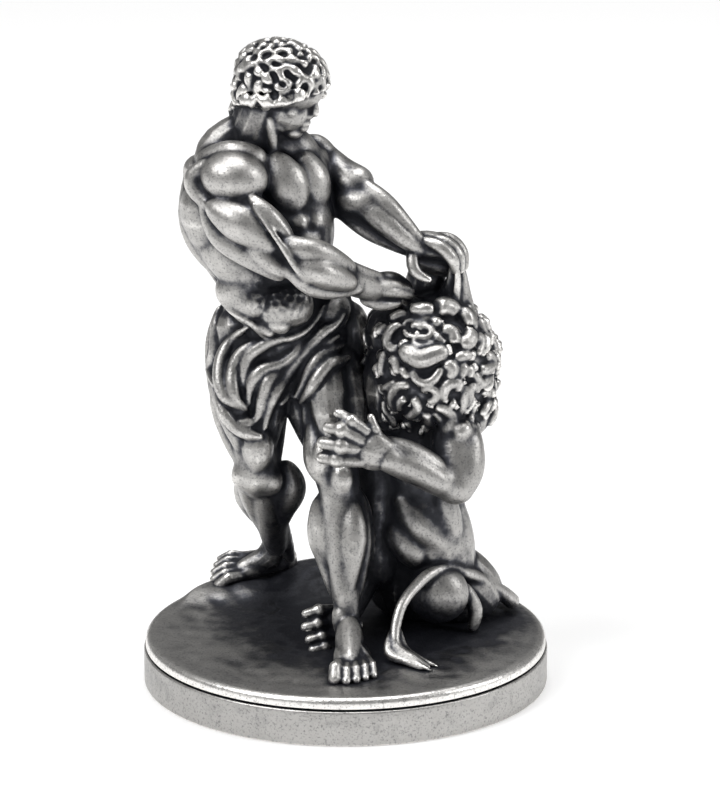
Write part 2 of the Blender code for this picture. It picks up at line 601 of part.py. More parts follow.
def loincloth(clay):
    pelvis, _ = torso_frames()
    # The wrap round the hips and the upper thighs
    clay.ball(pelvis.at(0.0, -0.3, -1.2), (8.0, 6.2, 5.0), pelvis, sides=24, rings=16)
    clay.lump(
        [pelvis.at(4.2, 0.5, 0), pelvis.at(3.4, 0.7, -4.5), pelvis.at(2.8, 1.1, -9.2)],
        [4.4, 5.0, 4.7],
        fullness=0.4,
        sides=24,
        rings=16,
    )
    clay.lump(
        [pelvis.at(-4.0, 0.8, 2.6), pelvis.at(-4.2, 1.4, -3.0)],
        [4.6, 4.5],
        fullness=0.5,
        sides=20,
        rings=14,
    )
    clay.lump([pelvis.at(-7.0, 2.4, 4.6), pelvis.at(-5.4, 4.2, 0.6)], [2.0, 2.2], fullness=0.6)
    # Folds that sweep from the gather at the left hip, and the outer hem
    body = clay.surface()
    for fold in FRONT_FOLDS:
        clay.lump(drawn(body, fold, 0.15), [0.5, 0.85, 0.9, 0.9, 0.6], fullness=0.4, sides=10, rings=24)
    # Folds round the back
    for i in range(9):
        angle = math.radians(mix(96, 264, i / 8))
        out = vec(math.sin(angle), math.cos(angle), 0)
        low = -9.6 if out.x > 0 else -6.5
        clay.lump(
            [
                pelvis.at(out.x * 7.5, out.y * 5.8, 2.8),
                pelvis.at(out.x * 8.0 + 0.4, out.y * 6.4, -2.5),
                pelvis.at(out.x * 7.4 + 1.2, out.y * 5.6, low),
            ],
            [0.6, 1.0, 0.9],
            fullness=0.45,
            sides=10,
            rings=16,
        )
    # Rolled upper edge, pushed down by the belly in front
    clay.lump(drawn(body, BELT_EDGE, 0.0), 0.55, fullness=0.3, sides=8, rings=30)
    roll = (
        (-5.6, 4.6, 3.6),
        (-8.2, 0.6, 4.0),
        (-5.6, -5.0, 4.0),
        (0.0, -6.2, 4.0),
        (5.6, -5.0, 4.4),
        (7.7, -0.8, 5.0),
    )
    clay.lump([pelvis.at(*p) for p in roll], 0.65, fullness=0.3, sides=8, rings=30)


def man(clay):
    torso(clay)
    head = neck_and_head(clay)
    hair_cap(clay, head)
    arm(clay, RIGHT, vec(-0.4, -0.9, 0), 1.14)
    arm(clay, LEFT, vec(0.2, 0.6, 0), 0.88)
    leg(clay, RIGHT, MAN["hip_right"], MAN["knee_right"], MAN["ankle_right"], vec(-0.62, -0.78, 0))
    leg(clay, LEFT, MAN["hip_left"], MAN["knee_left"], MAN["ankle_left"], vec(0.0, -1, 0))
    foot(clay, RIGHT, vec(-6.7, 20.0, 1.8), vec(-17.7, 15.6, 1.5), MAN["ankle_right"], roll=28)
    foot(clay, LEFT, vec(0.7, -6.8, 0), vec(0.9, -20.3, 0), MAN["ankle_left"])
    right_hand(clay)
    left_hand(clay)
    loincloth(clay)


LION = {
    "rump": vec(9.5, 4.0, 5.2),
    "back": vec(8.8, 3.2, 14.0),
    "chest": vec(9.8, 2.2, 21.0),
    "neck": vec(10.8, 1.6, 28.0),
    "mane": vec(10.4, 1.0, 34.0),
    "shoulder_near": vec(13.4, -3.2, 26.4),
    "elbow_near": vec(13.4, -6.2, 20.9),
    "wrist_near": vec(5.2, -9.4, 25.3),
    "shoulder_far": vec(8.5, 7.0, 25.0),
    "elbow_far": vec(7.0, 9.6, 21.5),
    "wrist_far": vec(2.4, 8.6, 27.0),
}


def toe(clay, root, knuckle, tip, radius, claw):
    root, knuckle, tip = Vector(root), Vector(knuckle), Vector(tip)
    clay.bone(root, knuckle, radius * 0.95, radius, sides=8)
    clay.ball(knuckle, (radius * 1.12, radius * 1.12, radius * 1.12), sides=10, rings=8)
    clay.bone(knuckle, tip, radius, radius * 0.8, sides=8)
    clay.lump([tip, tip + Vector(claw)], [radius * 0.6, radius * 0.3], sides=6, rings=6)


def lion_body(clay):
    clay.bone(LION["rump"], LION["back"], 5.8, 5.6, sides=24)
    clay.bone(LION["back"], LION["chest"], 5.6, 5.6, sides=24)
    clay.bone(LION["chest"], LION["neck"], 5.6, 5.4, sides=24)
    clay.ball(LION["rump"] + vec(0.2, 1.0, 0.0), (7.4, 7.0, 5.6), sides=24, rings=16)
    clay.ball(vec(13.4, 5.0, 2.6), (4.2, 4.6, 2.8))
    clay.ball(LION["chest"] + vec(0, 0, 1), (5.8, 6.0, 6.4), sides=24, rings=16)
    clay.bone(vec(4.2, 2.2, 25.0), vec(4.0, 1.2, 8.0), 3.6, 3.6, sides=24)
    # Hind leg on the near side, folded under
    clay.ball(vec(11.4, -3.2, 5.4), (3.0, 2.6, 2.9))
    clay.lump([vec(13.4, -1.6, 5.4), vec(15.2, -1.6, 1.0)], [1.2, 1.0], fullness=0.5)
    clay.lump([vec(15.0, -2.4, 0.8), vec(12.6, -4.6, 0.8)], [0.9, 0.8], fullness=0.5)
    # Hind leg on the far side, stretched past the man's shin
    clay.bone(LION["rump"] + vec(-2.5, 0.5, 2.0), vec(3.0, 2.0, 8.5), 4.4, 3.0)
    clay.bone(vec(3.0, 2.0, 8.5), vec(0.2, -3.0, 3.2), 2.8, 1.7)
    clay.lump([vec(0.6, -3.0, 3.0), vec(-2.6, -6.0, 3.0)], [2.0, 2.0], fullness=0.5)
    for tip in (vec(-5.4, -6.4, 4.4), vec(-5.5, -7.0, 2.9), vec(-5.0, -7.4, 1.4), vec(-4.6, -7.8, 0.2)):
        toe(
            clay,
            tip + vec(4.2, 1.6, 0.0),
            tip + vec(2.1, 0.2, 0.35),
            tip + vec(0.6, 0, 0),
            0.78,
            vec(-0.6, 0, -0.4),
        )


def lion_forelegs(clay):
    for near in ("near", "far"):
        shoulder, elbow, wrist = LION[f"shoulder_{near}"], LION[f"elbow_{near}"], LION[f"wrist_{near}"]
        clay.bone(shoulder, elbow, 2.6, 2.0)
        clay.lump([shoulder + vec(0, 0, 1.5), elbow], [2.4, 1.9], fullness=0.6)
        clay.bone(elbow, wrist, 2.0, 1.5)
        clay.lump([elbow + vec(-0.5, 0, 0.3), mix(elbow, wrist, 0.4), wrist], [1.7, 2.0, 1.4], fullness=0.6)
    # Near paw, which grips the man's thigh
    wrist = LION["wrist_near"]
    clay.lump(
        [wrist + vec(1.0, 0, 0), wrist + vec(-1.6, -0.2, 0.9), wrist + vec(-3.6, -0.2, 1.9)],
        [1.8, 2.5, 2.5],
        flat=0.62,
        fullness=0.45,
    )
    toes = (
        ((2.4, -9.8, 28.9), (0.7, -10.0, 30.2), (-0.8, -9.2, 31.0), 0.72),
        ((1.8, -10.0, 27.9), (-0.4, -10.3, 29.2), (-2.0, -9.4, 29.2), 0.86),
        ((1.2, -10.1, 26.9), (-0.5, -10.5, 27.2), (-2.7, -9.6, 27.3), 0.9),
        ((2.0, -10.0, 25.2), (-1.0, -10.4, 25.5), (-2.8, -9.6, 25.4), 0.9),
    )
    for root, knuckle, tip, radius in toes:
        toe(clay, root, knuckle, tip, radius, vec(-0.6, 0.5, -0.1))
    toe(
        clay,
        wrist + vec(-0.6, 0.0, 2.0),
        vec(3.6, -9.6, 29.0),
        vec(3.1, -9.2, 30.4),
        0.62,
        vec(-0.3, 0.2, 0.4),
    )
    # Far paw, on the man's hip
    wrist = LION["wrist_far"]
    for rise in (-1.6, -0.5, 0.6, 1.7):
        toe(
            clay,
            wrist + vec(-0.5, -0.4, 0.9 + rise),
            wrist + vec(-2.2, -0.8, 1.4 + rise),
            wrist + vec(-3.4, -1.8, 1.4 + rise),
            0.75,
            vec(-0.3, -0.4, 0),
        )


def lion_head(clay):
    clay.ball(vec(11.4, 1.2, 38.4), (4.6, 4.2, 4.6))
    # Upper jaw, pulled up by its tip
    jaw = [vec(13.6, 1.2, 39.6), vec(13.4, 1.2, 42.4), vec(13.6, 0.9, 45.0), vec(13.5, 0.6, 47.2)]
    clay.lump(jaw, [3.2, 2.2, 1.4, 1.2], fullness=0.4)
    for across, forward in ((-1.5, 0.4), (0.0, -0.6), (1.3, 0.2)):
        ridge = [p + vec(across * (1 - 0.22 * i), -1.4 + forward + 0.2 * i, 0) for i, p in enumerate(jaw)]
        clay.lump(ridge, [0.8, 0.6, 0.5, 0.5], fullness=0.4, sides=8)
    # Lower jaw, pulled down to the left
    clay.lump(
        [vec(10.6, 0.4, 39.6), vec(8.4, 0.4, 41.2), vec(7.6, 0.4, 43.0)], [3.0, 2.1, 1.3], fullness=0.5
    )
    # Lip, floor and far wall of the mouth
    clay.lump(
        [vec(7.8, -1.6, 42.4), vec(10.0, -2.2, 41.8), vec(12.2, -1.6, 42.6)], [0.6, 0.7, 0.6], fullness=0.4
    )
    clay.lump(
        [vec(9.0, 3.2, 41.0), vec(10.0, 3.0, 45.0), vec(11.4, 2.2, 48.6)],
        [2.6, 2.4, 1.4],
        flat=0.6,
        fullness=0.5,
    )
    # Cheeks and brow
    for side in (-1, 1):
        clay.ball(vec(11.6, 1.2 + side * 3.2, 40.0), (2.0, 1.2, 1.4))
        clay.ball(vec(14.8, 1.2 + side * 2.0, 40.2), (1.6, 1.4, 1.8))


def mane(clay):
    centre = LION["mane"]
    radii = (8.2, 8.0, 8.4)
    clay.ball(centre, radii, sides=24, rings=16)
    clay.ball(vec(5.8, 1.0, 40.0), (4.2, 4.6, 3.6))
    clay.ball(vec(14.8, 1.6, 28.6), (4.0, 5.4, 4.6))
    clay.lump([vec(13.0, 3.0, 26.0), vec(12.6, 3.4, 18.0)], [3.8, 2.6], fullness=0.5)
    rng = random.Random(11)
    golden = math.pi * (3 - math.sqrt(5))
    count = 110
    for i in range(count):
        up = 1 - (i + 0.5) / count * 2
        ring = math.sqrt(max(0.0, 1 - up * up))
        angle = i * golden
        direction = vec(ring * math.cos(angle), ring * math.sin(angle), up)
        if up > 0.70:
            continue
        place = centre + vec(direction.x * radii[0], direction.y * radii[1], direction.z * radii[2])
        start = rng.uniform(0, 2 * math.pi)
        side = direction.orthogonal().normalized()
        other = direction.cross(side)
        reach = rng.uniform(1.2, 1.9)
        path = [
            place + side * (reach * math.cos(start + a)) + other * (reach * math.sin(start + a)) + direction * lift
            for a, lift in ((0, -0.3), (1.1, 0.2), (2.2, 0.2), (3.4, -0.2))
        ]
        clay.lump(path, [0.6, 1.0, 0.8, 0.4], flat=0.8, facing=direction, fullness=0.5, sides=7, rings=8)


def tail(clay):
    path = [
        vec(15.0, 9.0, 4.0), vec(19.0, 9.0, 2.2), vec(20.8, 6.5, 1.6), vec(19.3, 4.0, 3.6), vec(16.6, 1.6, 6.2),
        vec(14.6, -0.6, 7.8), vec(12.5, -2.6, 9.0), vec(10.2, -4.8, 8.9), vec(8.2, -7.0, 7.7), vec(6.8, -9.0, 6.2),
        vec(6.1, -10.6, 4.0), vec(6.0, -12.0, 2.2),
    ]
    clay.lump(
        path,
        [1.2, 1.2, 1.1, 1.0, 0.9, 0.85, 0.8, 0.8, 0.75, 0.75, 0.8, 0.9],
        fullness=0.15,
        sides=10,
        rings=50,
    )
    clay.lump(
        [vec(6.2, -11.0, 3.0), vec(6.8, -12.6, 1.4), vec(8.6, -14.2, 0.8), vec(10.0, -15.0, 0.3)],
        [0.9, 1.7, 1.1, 0.4],
        fullness=0.5,
    )


def lion(clay):
    lion_body(clay)
    lion_forelegs(clay)
    lion_head(clay)
    mane(clay)
    tail(clay)


def ground(clay):
    """The mound that the figures stand on, which follows the plinth's size."""
    reach = (PLINTH_RADIUS - GROUND_SETBACK) / FIGURE_SCALE
    rise = MOUND_HEIGHT / FIGURE_SCALE
    mounds = (
        (-0.20, 0.58, 0.68, 0.36, 1.0),
        (0.32, 0.12, 0.56, 0.48, 0.5),
        (-0.08, -0.36, 0.32, 0.28, 0.2),
    )
    for right, back, wide, deep, tall in mounds:
        clay.ball(
            vec(right * reach, back * reach, -0.4 * rise), (wide * reach, deep * reach, (tall + 0.4) * rise)
        )


def ground_disc():
    """The rounded disc under the mound, as a turned profile."""
    radius = PLINTH_RADIUS - GROUND_SETBACK
    bottom = PLINTH_HEIGHT + SEAM_GAP
    steps = 3
    outline = [(0, GROUND_TOP)]
    for i in range(steps + 1):
        angle = math.pi / 2 * (1 - i / steps)
        outline.append((
            radius - GROUND_EDGE + GROUND_EDGE * math.cos(angle),
            GROUND_TOP - GROUND_EDGE + GROUND_EDGE * math.sin(angle),
        ))
    outline += [(radius, bottom), (0, bottom)]
    return turned("ground_disc", outline)


def turned(name, outline, steps=TURNED_SIDES):
    """A solid of revolution from an outline that runs from the axis, out over the top and back."""
    mesh = bpy.data.meshes.new(name)
    bm = bmesh.new()
    verts = [bm.verts.new((r, 0, z)) for r, z in outline]
    for a, b in zip(verts, verts[1:]):
        bm.edges.new((a, b))
    bm.to_mesh(mesh)
    bm.free()
    made = bpy.data.objects.new(name, mesh)
    screw = made.modifiers.new("turn", "SCREW")
    screw.steps = screw.render_steps = steps
    screw.use_merge_vertices = True
    screw.merge_threshold = 0.00001
    return made


def evaluated_mesh(made, collection):
    """The object's mesh with its modifiers applied."""
    collection.objects.link(made)
    graph = bpy.context.evaluated_depsgraph_get()
    mesh = bpy.data.meshes.new_from_object(made.evaluated_get(graph), depsgraph=graph)
    bpy.data.objects.remove(made)
    return mesh


def largest_body(mesh):
    """Keeps the mesh's biggest connected body and drops any hollow that was closed inside it."""
    bm = bmesh.new()
    bm.from_mesh(mesh)
    left = set(bm.verts)
    bodies = []
    while left:
        stack = [left.pop()]
        body = set(stack)
        while stack:
            for edge in stack.pop().link_edges:
                for vert in edge.verts:
                    if vert not in body:
                        body.add(vert)
                        stack.append(vert)
        left -= body
        bodies.append(body)
    keep = max(bodies, key=len)
    bmesh.ops.delete(bm, geom=[v for body in bodies if body is not keep for v in body], context="VERTS")
    bm.to_mesh(mesh)
    bm.free()


def statue(collection, cutters):
    """The figures are fused and thinned, and then joined to the turned disc, whose edge stays true."""
    clay = Clay()
    man(clay)
    lion(clay)
    ground(clay)
    points = np.concatenate(clay.points) * FIGURE_SCALE + np.array([0, 0, GROUND_TOP])
    points[:, 2] = np.maximum(points[:, 2], GROUND_TOP - GROUND_THICKNESS / 2)
    mesh = bpy.data.meshes.new("statue")
    mesh.from_pydata(points.tolist(), [], clay.faces)
    rough = bpy.data.objects.new("statue", mesh)
    fuse = rough.modifiers.new("fuse", "REMESH")
    fuse.mode = "VOXEL"
    fuse.voxel_size = VOXEL
    soften = rough.modifiers.new("soften", "SMOOTH")
    soften.factor = 0.5
    soften.iterations = 2
    mesh = evaluated_mesh(rough, collection)
    largest_body(mesh)
    made = bpy.data.objects.new("statue", mesh)
    collection.objects.link(made)
    thin = made.modifiers.new("thin", "DECIMATE")
    thin.ratio = min(1.0, STATUE_FACES / (2 * len(mesh.polygons)))
    disc = ground_disc()
    disc.hide_render = True
    cutters.objects.link(disc)
    stand = made.modifiers.new("stand", "BOOLEAN")
    stand.operation = "UNION"
    stand.solver = "EXACT"
    stand.object = disc
    smooth(made)
    return made


def smooth(made):
    made.data.shade_smooth()
    made.data.set_sharp_from_angle(angle=math.radians(50))


def plinth(collection):
    outline = [
        (0, PLINTH_HEIGHT),
        (PLINTH_RADIUS - PLINTH_EDGE, PLINTH_HEIGHT),
        (PLINTH_RADIUS, PLINTH_HEIGHT - PLINTH_EDGE),
        (PLINTH_RADIUS, PLINTH_EDGE),
        (PLINTH_RADIUS - PLINTH_EDGE, 0),
        (0, 0),
    ]
    made = turned("plinth", outline)
    collection.objects.link(made)
    return made


def pewter(name, colour, roughness):
    material = bpy.data.materials.new(name)
    material.use_nodes = True
    shader = material.node_tree.nodes["Principled BSDF"]
    shader.inputs["Base Color"].default_value = colour
    shader.inputs["Metallic"].default_value = 1.0
    shader.inputs["Roughness"].default_value = roughness
    return material


def main():
    for old in list(bpy.data.objects):
        bpy.data.objects.remove(old)
    collection = bpy.data.collections.new("samson and lion statue")
    bpy.context.scene.collection.children.link(collection)
    cutters = bpy.data.collections.new("cutters")
    bpy.context.scene.collection.children.link(cutters)
    statue(collection, cutters).data.materials.append(pewter("pewter", (0.42, 0.41, 0.40, 1), 0.4))
    plinth(collection).data.materials.append(pewter("plinth_pewter", (0.50, 0.49, 0.48, 1), 0.4))


main()
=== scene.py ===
"""Dresses the samson and lion statue: the carved figures, the ground, the plinth and their old pewter."""

import json
import math

import bpy
import numpy as np
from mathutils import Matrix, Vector
from mathutils.bvhtree import BVHTree

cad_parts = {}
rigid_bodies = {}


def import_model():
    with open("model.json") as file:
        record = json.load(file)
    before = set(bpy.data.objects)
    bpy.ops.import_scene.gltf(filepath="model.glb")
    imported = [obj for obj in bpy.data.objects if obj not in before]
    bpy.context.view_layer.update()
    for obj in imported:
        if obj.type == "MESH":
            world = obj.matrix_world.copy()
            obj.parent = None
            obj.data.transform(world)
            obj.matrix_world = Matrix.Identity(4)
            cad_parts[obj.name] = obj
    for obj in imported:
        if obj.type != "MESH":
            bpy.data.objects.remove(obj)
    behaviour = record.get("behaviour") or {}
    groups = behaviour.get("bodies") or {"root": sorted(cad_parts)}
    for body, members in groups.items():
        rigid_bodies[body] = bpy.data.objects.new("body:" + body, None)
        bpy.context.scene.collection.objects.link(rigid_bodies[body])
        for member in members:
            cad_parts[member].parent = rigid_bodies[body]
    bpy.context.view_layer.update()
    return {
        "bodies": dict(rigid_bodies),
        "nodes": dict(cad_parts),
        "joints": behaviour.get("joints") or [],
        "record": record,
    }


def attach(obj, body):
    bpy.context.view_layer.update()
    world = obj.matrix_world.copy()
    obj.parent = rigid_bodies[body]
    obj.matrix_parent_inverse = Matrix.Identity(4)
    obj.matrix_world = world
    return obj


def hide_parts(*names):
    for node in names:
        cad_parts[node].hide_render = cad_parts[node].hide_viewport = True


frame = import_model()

MM = 0.001

# Sizes of the turned pieces, as in the solids
PLINTH_RADIUS = 25.0
PLINTH_HEIGHT = 4.4
SEAM_GAP = 0.3
GROUND_SETBACK = 0.2
GROUND_THICKNESS = 1.3
GROUND_EDGE = 0.8
GROUND_TOP = PLINTH_HEIGHT + SEAM_GAP + GROUND_THICKNESS

# How finely the figures are carved
VOXEL = 0.2
FIGURE_FACES = 190000

# How far, and in how many directions, the metal looks round for parts that close it off, for the painted
# shade and oxide
SHELTER_REACH = 15.0
SHELTER_RAYS = 10

RIGHT, LEFT = 1, -1


def vec(*xyz):
    return Vector(xyz)


def mix(a, b, t):
    """The value or point a share t of the way from a to b."""
    return a * (1 - t) + b * t


def along(values, t):
    """Reads a list of values or points at the share t of its length, on a smooth curve through them."""
    if len(values) == 1:
        return values[0]
    place = t * (len(values) - 1)
    i = min(int(place), len(values) - 2)
    f = place - i
    before, a = values[max(i - 1, 0)], values[i]
    b, after = values[i + 1], values[min(i + 2, len(values) - 1)]
    if len(values) == 2:
        return mix(a, b, f)
    leave, arrive = (b - before) * 0.5, (after - a) * 0.5
    return (
        a * (2 * f**3 - 3 * f**2 + 1)
        + b * (3 * f**2 - 2 * f**3)
        + leave * (f**3 - 2 * f**2 + f)
        + arrive * (f**3 - f**2)
    )


def stock_ball(sides, rings):
    """A ball of radius 1 from Blender's own sphere: its points and its faces."""
    bpy.ops.object.select_all(action="DESELECT")
    bpy.ops.mesh.primitive_uv_sphere_add(segments=sides, ring_count=rings, radius=1)
    ball = bpy.context.object
    points = np.array([v.co for v in ball.data.vertices])
    faces = [tuple(p.vertices) for p in ball.data.polygons]
    bpy.data.objects.remove(ball)
    return points, faces


class Clay:
    """Overlapping closed lumps, each one a ball that is stretched along a path."""

    def __init__(self):
        self.points, self.faces, self.count = [], [], 0
        self.balls = {}

    def ball_shape(self, sides, rings):
        if (sides, rings) not in self.balls:
            self.balls[sides, rings] = stock_ball(sides, rings)
        return self.balls[sides, rings]

    def add(self, points, faces):
        self.points.append(points)
        self.faces.extend(tuple(i + self.count for i in face) for face in faces)
        self.count += len(points)

    def lump(self, path, radii, flat=1.0, facing=(0, -1, 0), fullness=1.0, sides=12, rings=10):
        """A ball stretched along path. flat squeezes it along facing, and fullness 1 is a spindle
        while 0.4 is a sausage."""
        path = [Vector(p) for p in path]
        radii = list(radii) if hasattr(radii, "__len__") else [radii]
        facing = Vector(facing)
        shape, faces = self.ball_shape(sides, rings)
        turns = np.arccos(np.clip(shape[:, 2], -1, 1)) / math.pi
        keys = np.round(turns, 4)
        angles = np.arctan2(shape[:, 1], shape[:, 0])
        placed = np.empty_like(shape)
        for key in np.unique(keys):
            turn = float(key)
            round_place = (1 - math.cos(math.pi * turn)) / 2
            place = mix(turn, round_place, fullness)
            ahead = along(path, min(place + 0.02, 1)) - along(path, max(place - 0.02, 0))
            ahead.normalize()
            depth = facing - ahead * facing.dot(ahead)
            if depth.length < 1e-4:
                depth = ahead.orthogonal()
            depth.normalize()
            radius = along(radii, place) * max(math.sin(math.pi * turn), 0) ** fullness
            across = np.array(ahead.cross(depth) * radius)
            depth = np.array(depth * (radius * flat))
            ring = keys == key
            placed[ring] = (
                np.array(along(path, place))
                + np.cos(angles[ring])[:, None] * across
                + np.sin(angles[ring])[:, None] * depth
            )
        self.add(placed, faces)

    def bone(self, top, bottom, top_radius, bottom_radius, sides=14):
        """A tapered rod with round ends whose middles are at top and bottom."""
        top, bottom = Vector(top), Vector(bottom)
        ahead = (bottom - top).normalized()
        across = ahead.orthogonal().normalized()
        axes = np.array([across, ahead.cross(across), -ahead])
        shape, faces = self.ball_shape(sides, 12)
        upper = (shape[:, 2] > 0.001)[:, None]
        middle = np.where(upper, np.array(top), np.array(bottom))
        self.add(middle + shape @ axes * np.where(upper, top_radius, bottom_radius), faces)

    def ball(self, centre, radii, frame=None, sides=14, rings=10):
        """An ellipsoid. radii are along the frame's own three directions."""
        axes = frame.axes if frame else (vec(1, 0, 0), vec(0, 1, 0), vec(0, 0, 1))
        shape, faces = self.ball_shape(sides, rings)
        across = np.array([a * r for a, r in zip(axes, radii)])
        self.add(np.array(Vector(centre)) + shape @ across, faces)

    def forms(self, rows):
        """Lumps set out as they show in the front view: what each is, its path, radii and fullness."""
        for _, path, radii, fullness in rows:
            path = [seen(*p) for p in path]
            first = (path[0] - path[1]).normalized() * radii[0] * 0.8
            last = (path[-1] - path[-2]).normalized() * radii[-1] * 0.8
            path = [path[0] + first] + path[1:-1] + [path[-1] + last]
            self.lump(path, radii, fullness=fullness, sides=16, rings=16)

    def surface(self):
        """The lumps so far, to draw on."""
        return BVHTree.FromPolygons(np.concatenate(self.points).tolist(), self.faces)


# The front view that muscles, cloth and locks are set out in: where its eye is, and how it looks down
FRONT_AIM = vec(1.78, 0, 30.66)
FRONT_TILT = math.radians(16.6)
FRONT_BACK = vec(0, -math.cos(FRONT_TILT), math.sin(FRONT_TILT))
FRONT_UP = vec(0, math.sin(FRONT_TILT), math.cos(FRONT_TILT))
FRONT_DISTANCE = 600
FRONT_EYE = FRONT_AIM + FRONT_BACK * FRONT_DISTANCE


def front_point(right, up):
    """This place of the front view, on the upright plane through its aim."""
    return FRONT_AIM + vec(right - FRONT_AIM.x, 0, 0) + FRONT_UP * (up - FRONT_AIM.z)


def seen(right, up, depth):
    """The point that shows at this place of the front view and lies this deep, with +Y away from the eye."""
    ray = front_point(right, up) - FRONT_EYE
    return FRONT_EYE + ray * ((depth - FRONT_EYE.y) / ray.y)


def drawn(body, line, lift):
    """A line that is drawn in the front view, laid on the body's surface and lifted off it."""
    laid = []
    for right, up in line:
        aim = front_point(right, up)
        ray = (aim - FRONT_EYE).normalized()
        hit, normal, _, _ = body.ray_cast(FRONT_EYE, ray)
        if hit is None:
            before = laid[-1] if laid else aim
            near = FRONT_EYE + ray * (before - FRONT_EYE).dot(ray)
            hit, normal, _, _ = body.find_nearest(near)
        laid.append(hit + normal * lift)
    return laid


class Frame:
    """A place on a body with its own right, front and up, named from the body's point of view."""

    def __init__(self, origin, front, up):
        self.origin = Vector(origin)
        up = Vector(up).normalized()
        front = Vector(front)
        front = (front - up * front.dot(up)).normalized()
        self.axes = (front.cross(up), front, up)

    def at(self, right=0.0, front=0.0, up=0.0):
        return self.origin + self.axes[0] * right + self.axes[1] * front + self.axes[2] * up

    def turned(self, right=0.0, front=0.0, up=0.0):
        """The direction that has these parts along the frame's own directions."""
        return self.axes[0] * right + self.axes[1] * front + self.axes[2] * up

    def blended(self, other, t):
        return Frame(
            mix(self.origin, other.origin, t),
            mix(self.axes[1], other.axes[1], t),
            mix(self.axes[2], other.axes[2], t),
        )


class Limb:
    """One stretch of an arm or leg, from its top joint to its bottom one."""

    def __init__(self, top, bottom, front, side):
        self.top, self.bottom = Vector(top), Vector(bottom)
        self.length = (self.bottom - self.top).length
        self.down = (self.bottom - self.top).normalized()
        front = Vector(front)
        self.front = (front - self.down * front.dot(self.down)).normalized()
        self.outer = self.down.cross(self.front) * side

    def at(self, t, outer=0.0, front=0.0):
        return self.top + self.down * (self.length * t) + self.outer * outer + self.front * front

    def towards(self, outer=0.0, front=0.0):
        return self.outer * outer + self.front * front


# The man's joints, in millimetres from the middle of the ground
MAN = {
    "pelvis": vec(-7.9, 4.0, 38.0),
    "waist": vec(-9.7, 3.8, 44.5),
    "chest": vec(-11.0, 3.2, 53.3),
    "neck": vec(-10.2, 2.4, 61.0),
    "head": vec(-7.4, 0.0, 69.0),
    "shoulder_left": vec(-4.5, 8.6, 58.1),
    "hip_right": vec(-12.3, 3.3, 37.5),
    "hip_left": vec(-3.8, 4.4, 38.0),
    "knee_right": vec(-10.9, -1.0, 20.6),
    "ankle_right": vec(-9.0, 17.4, 6.4),
    "knee_left": vec(-0.7, -4.2, 19.8),
    "ankle_left": vec(0.3, -8.4, 3.2),
}
CHEST_FRONT = vec(0.78, -0.62, 0)
PELVIS_FRONT = vec(0.12, -1, 0)
HEAD_FRONT = vec(0.86, -0.33, -0.38)


# Muscles as they show in the front view: name, path of (right, up, depth), radii and fullness
CHEST_AND_BACK = (
    (
        "chest behind the left breast",
        ((-4.5, 58.4, 3.0), (-4.8, 54.4, 2.6), (-4.5, 51.2, 2.6)),
        (3.2, 3.2, 2.8),
        0.4,
    ),
    ("root of the neck", ((-8.2, 61.9, 1.5), (-5.3, 59.5, 2.5)), (2.9, 2.7), 0.4),
    ("wall of the belly", ((-5.3, 53.9, 0.2), (-4.9, 51.2, 0.0), (-4.8, 48.0, 0.0)), (3.4, 3.5, 3.2), 0.4),
    (
        "edge of the left breast",
        ((-3.2, 59.2, 1.2), (-2.7, 56.8, 0.6), (-2.9, 54.7, 0.4)),
        (0.7, 0.8, 0.7),
        0.5,
    ),
    ("upper belly, right", ((-7.0, 51.7, -3.5), (-5.6, 51.6, -3.5)), (1.2, 1.4), 0.5),
    ("upper belly, left", ((-3.9, 51.8, -2.3), (-3.1, 51.5, -1.2)), (1.4, 1.2), 0.5),
    ("middle belly", ((-6.0, 49.7, -3.8), (-4.0, 49.8, -2.6)), (1.3, 1.4), 0.5),
    ("side rib", ((-8.4, 52.3, -3.8), (-7.2, 50.1, -3.9)), (1.1, 1.0), 0.6),
    (
        "broad back muscle",
        ((-18.9, 55.7, 0.5), (-18.5, 52.3, 0.8), (-17.0, 48.6, 1.0), (-14.8, 45.1, 1.0)),
        (1.5, 2.0, 2.0, 1.2),
        0.4,
    ),
    (
        "side of the ribs",
        ((-16.5, 52.3, -0.6), (-14.4, 48.0, -1.2), (-11.7, 45.1, -1.6)),
        (2.4, 3.0, 2.6),
        0.5,
    ),
    ("waist", ((-11.7, 44.8, -1.4), (-13.3, 43.2, -1.0)), (2.6, 3.0), 0.5),
    ("shoulder blade", ((-18.1, 57.6, 0.6), (-18.6, 55.2, 1.0)), (1.5, 1.6), 0.6),
)
HIP_AND_BELLY = (
    (
        "roll over the hip bone",
        ((-14.5, 42.8, 0.2), (-12.6, 41.0, -1.2), (-10.5, 39.2, -2.4), (-9.2, 38.1, -3.0)),
        (1.5, 1.5, 1.1, 0.7),
        0.35,
    ),
    ("side of the waist", ((-13.6, 43.1, -1.0), (-10.9, 41.9, -2.0)), (2.4, 2.6), 0.5),
    ("lower belly", ((-8.8, 41.2, -1.6), (-6.1, 41.5, -1.2)), (3.0, 2.8), 0.5),
    ("belly over the belt", ((-8.5, 39.6, -2.7), (-7.7, 39.2, -2.7)), (1.5, 1.4), 0.5),
)
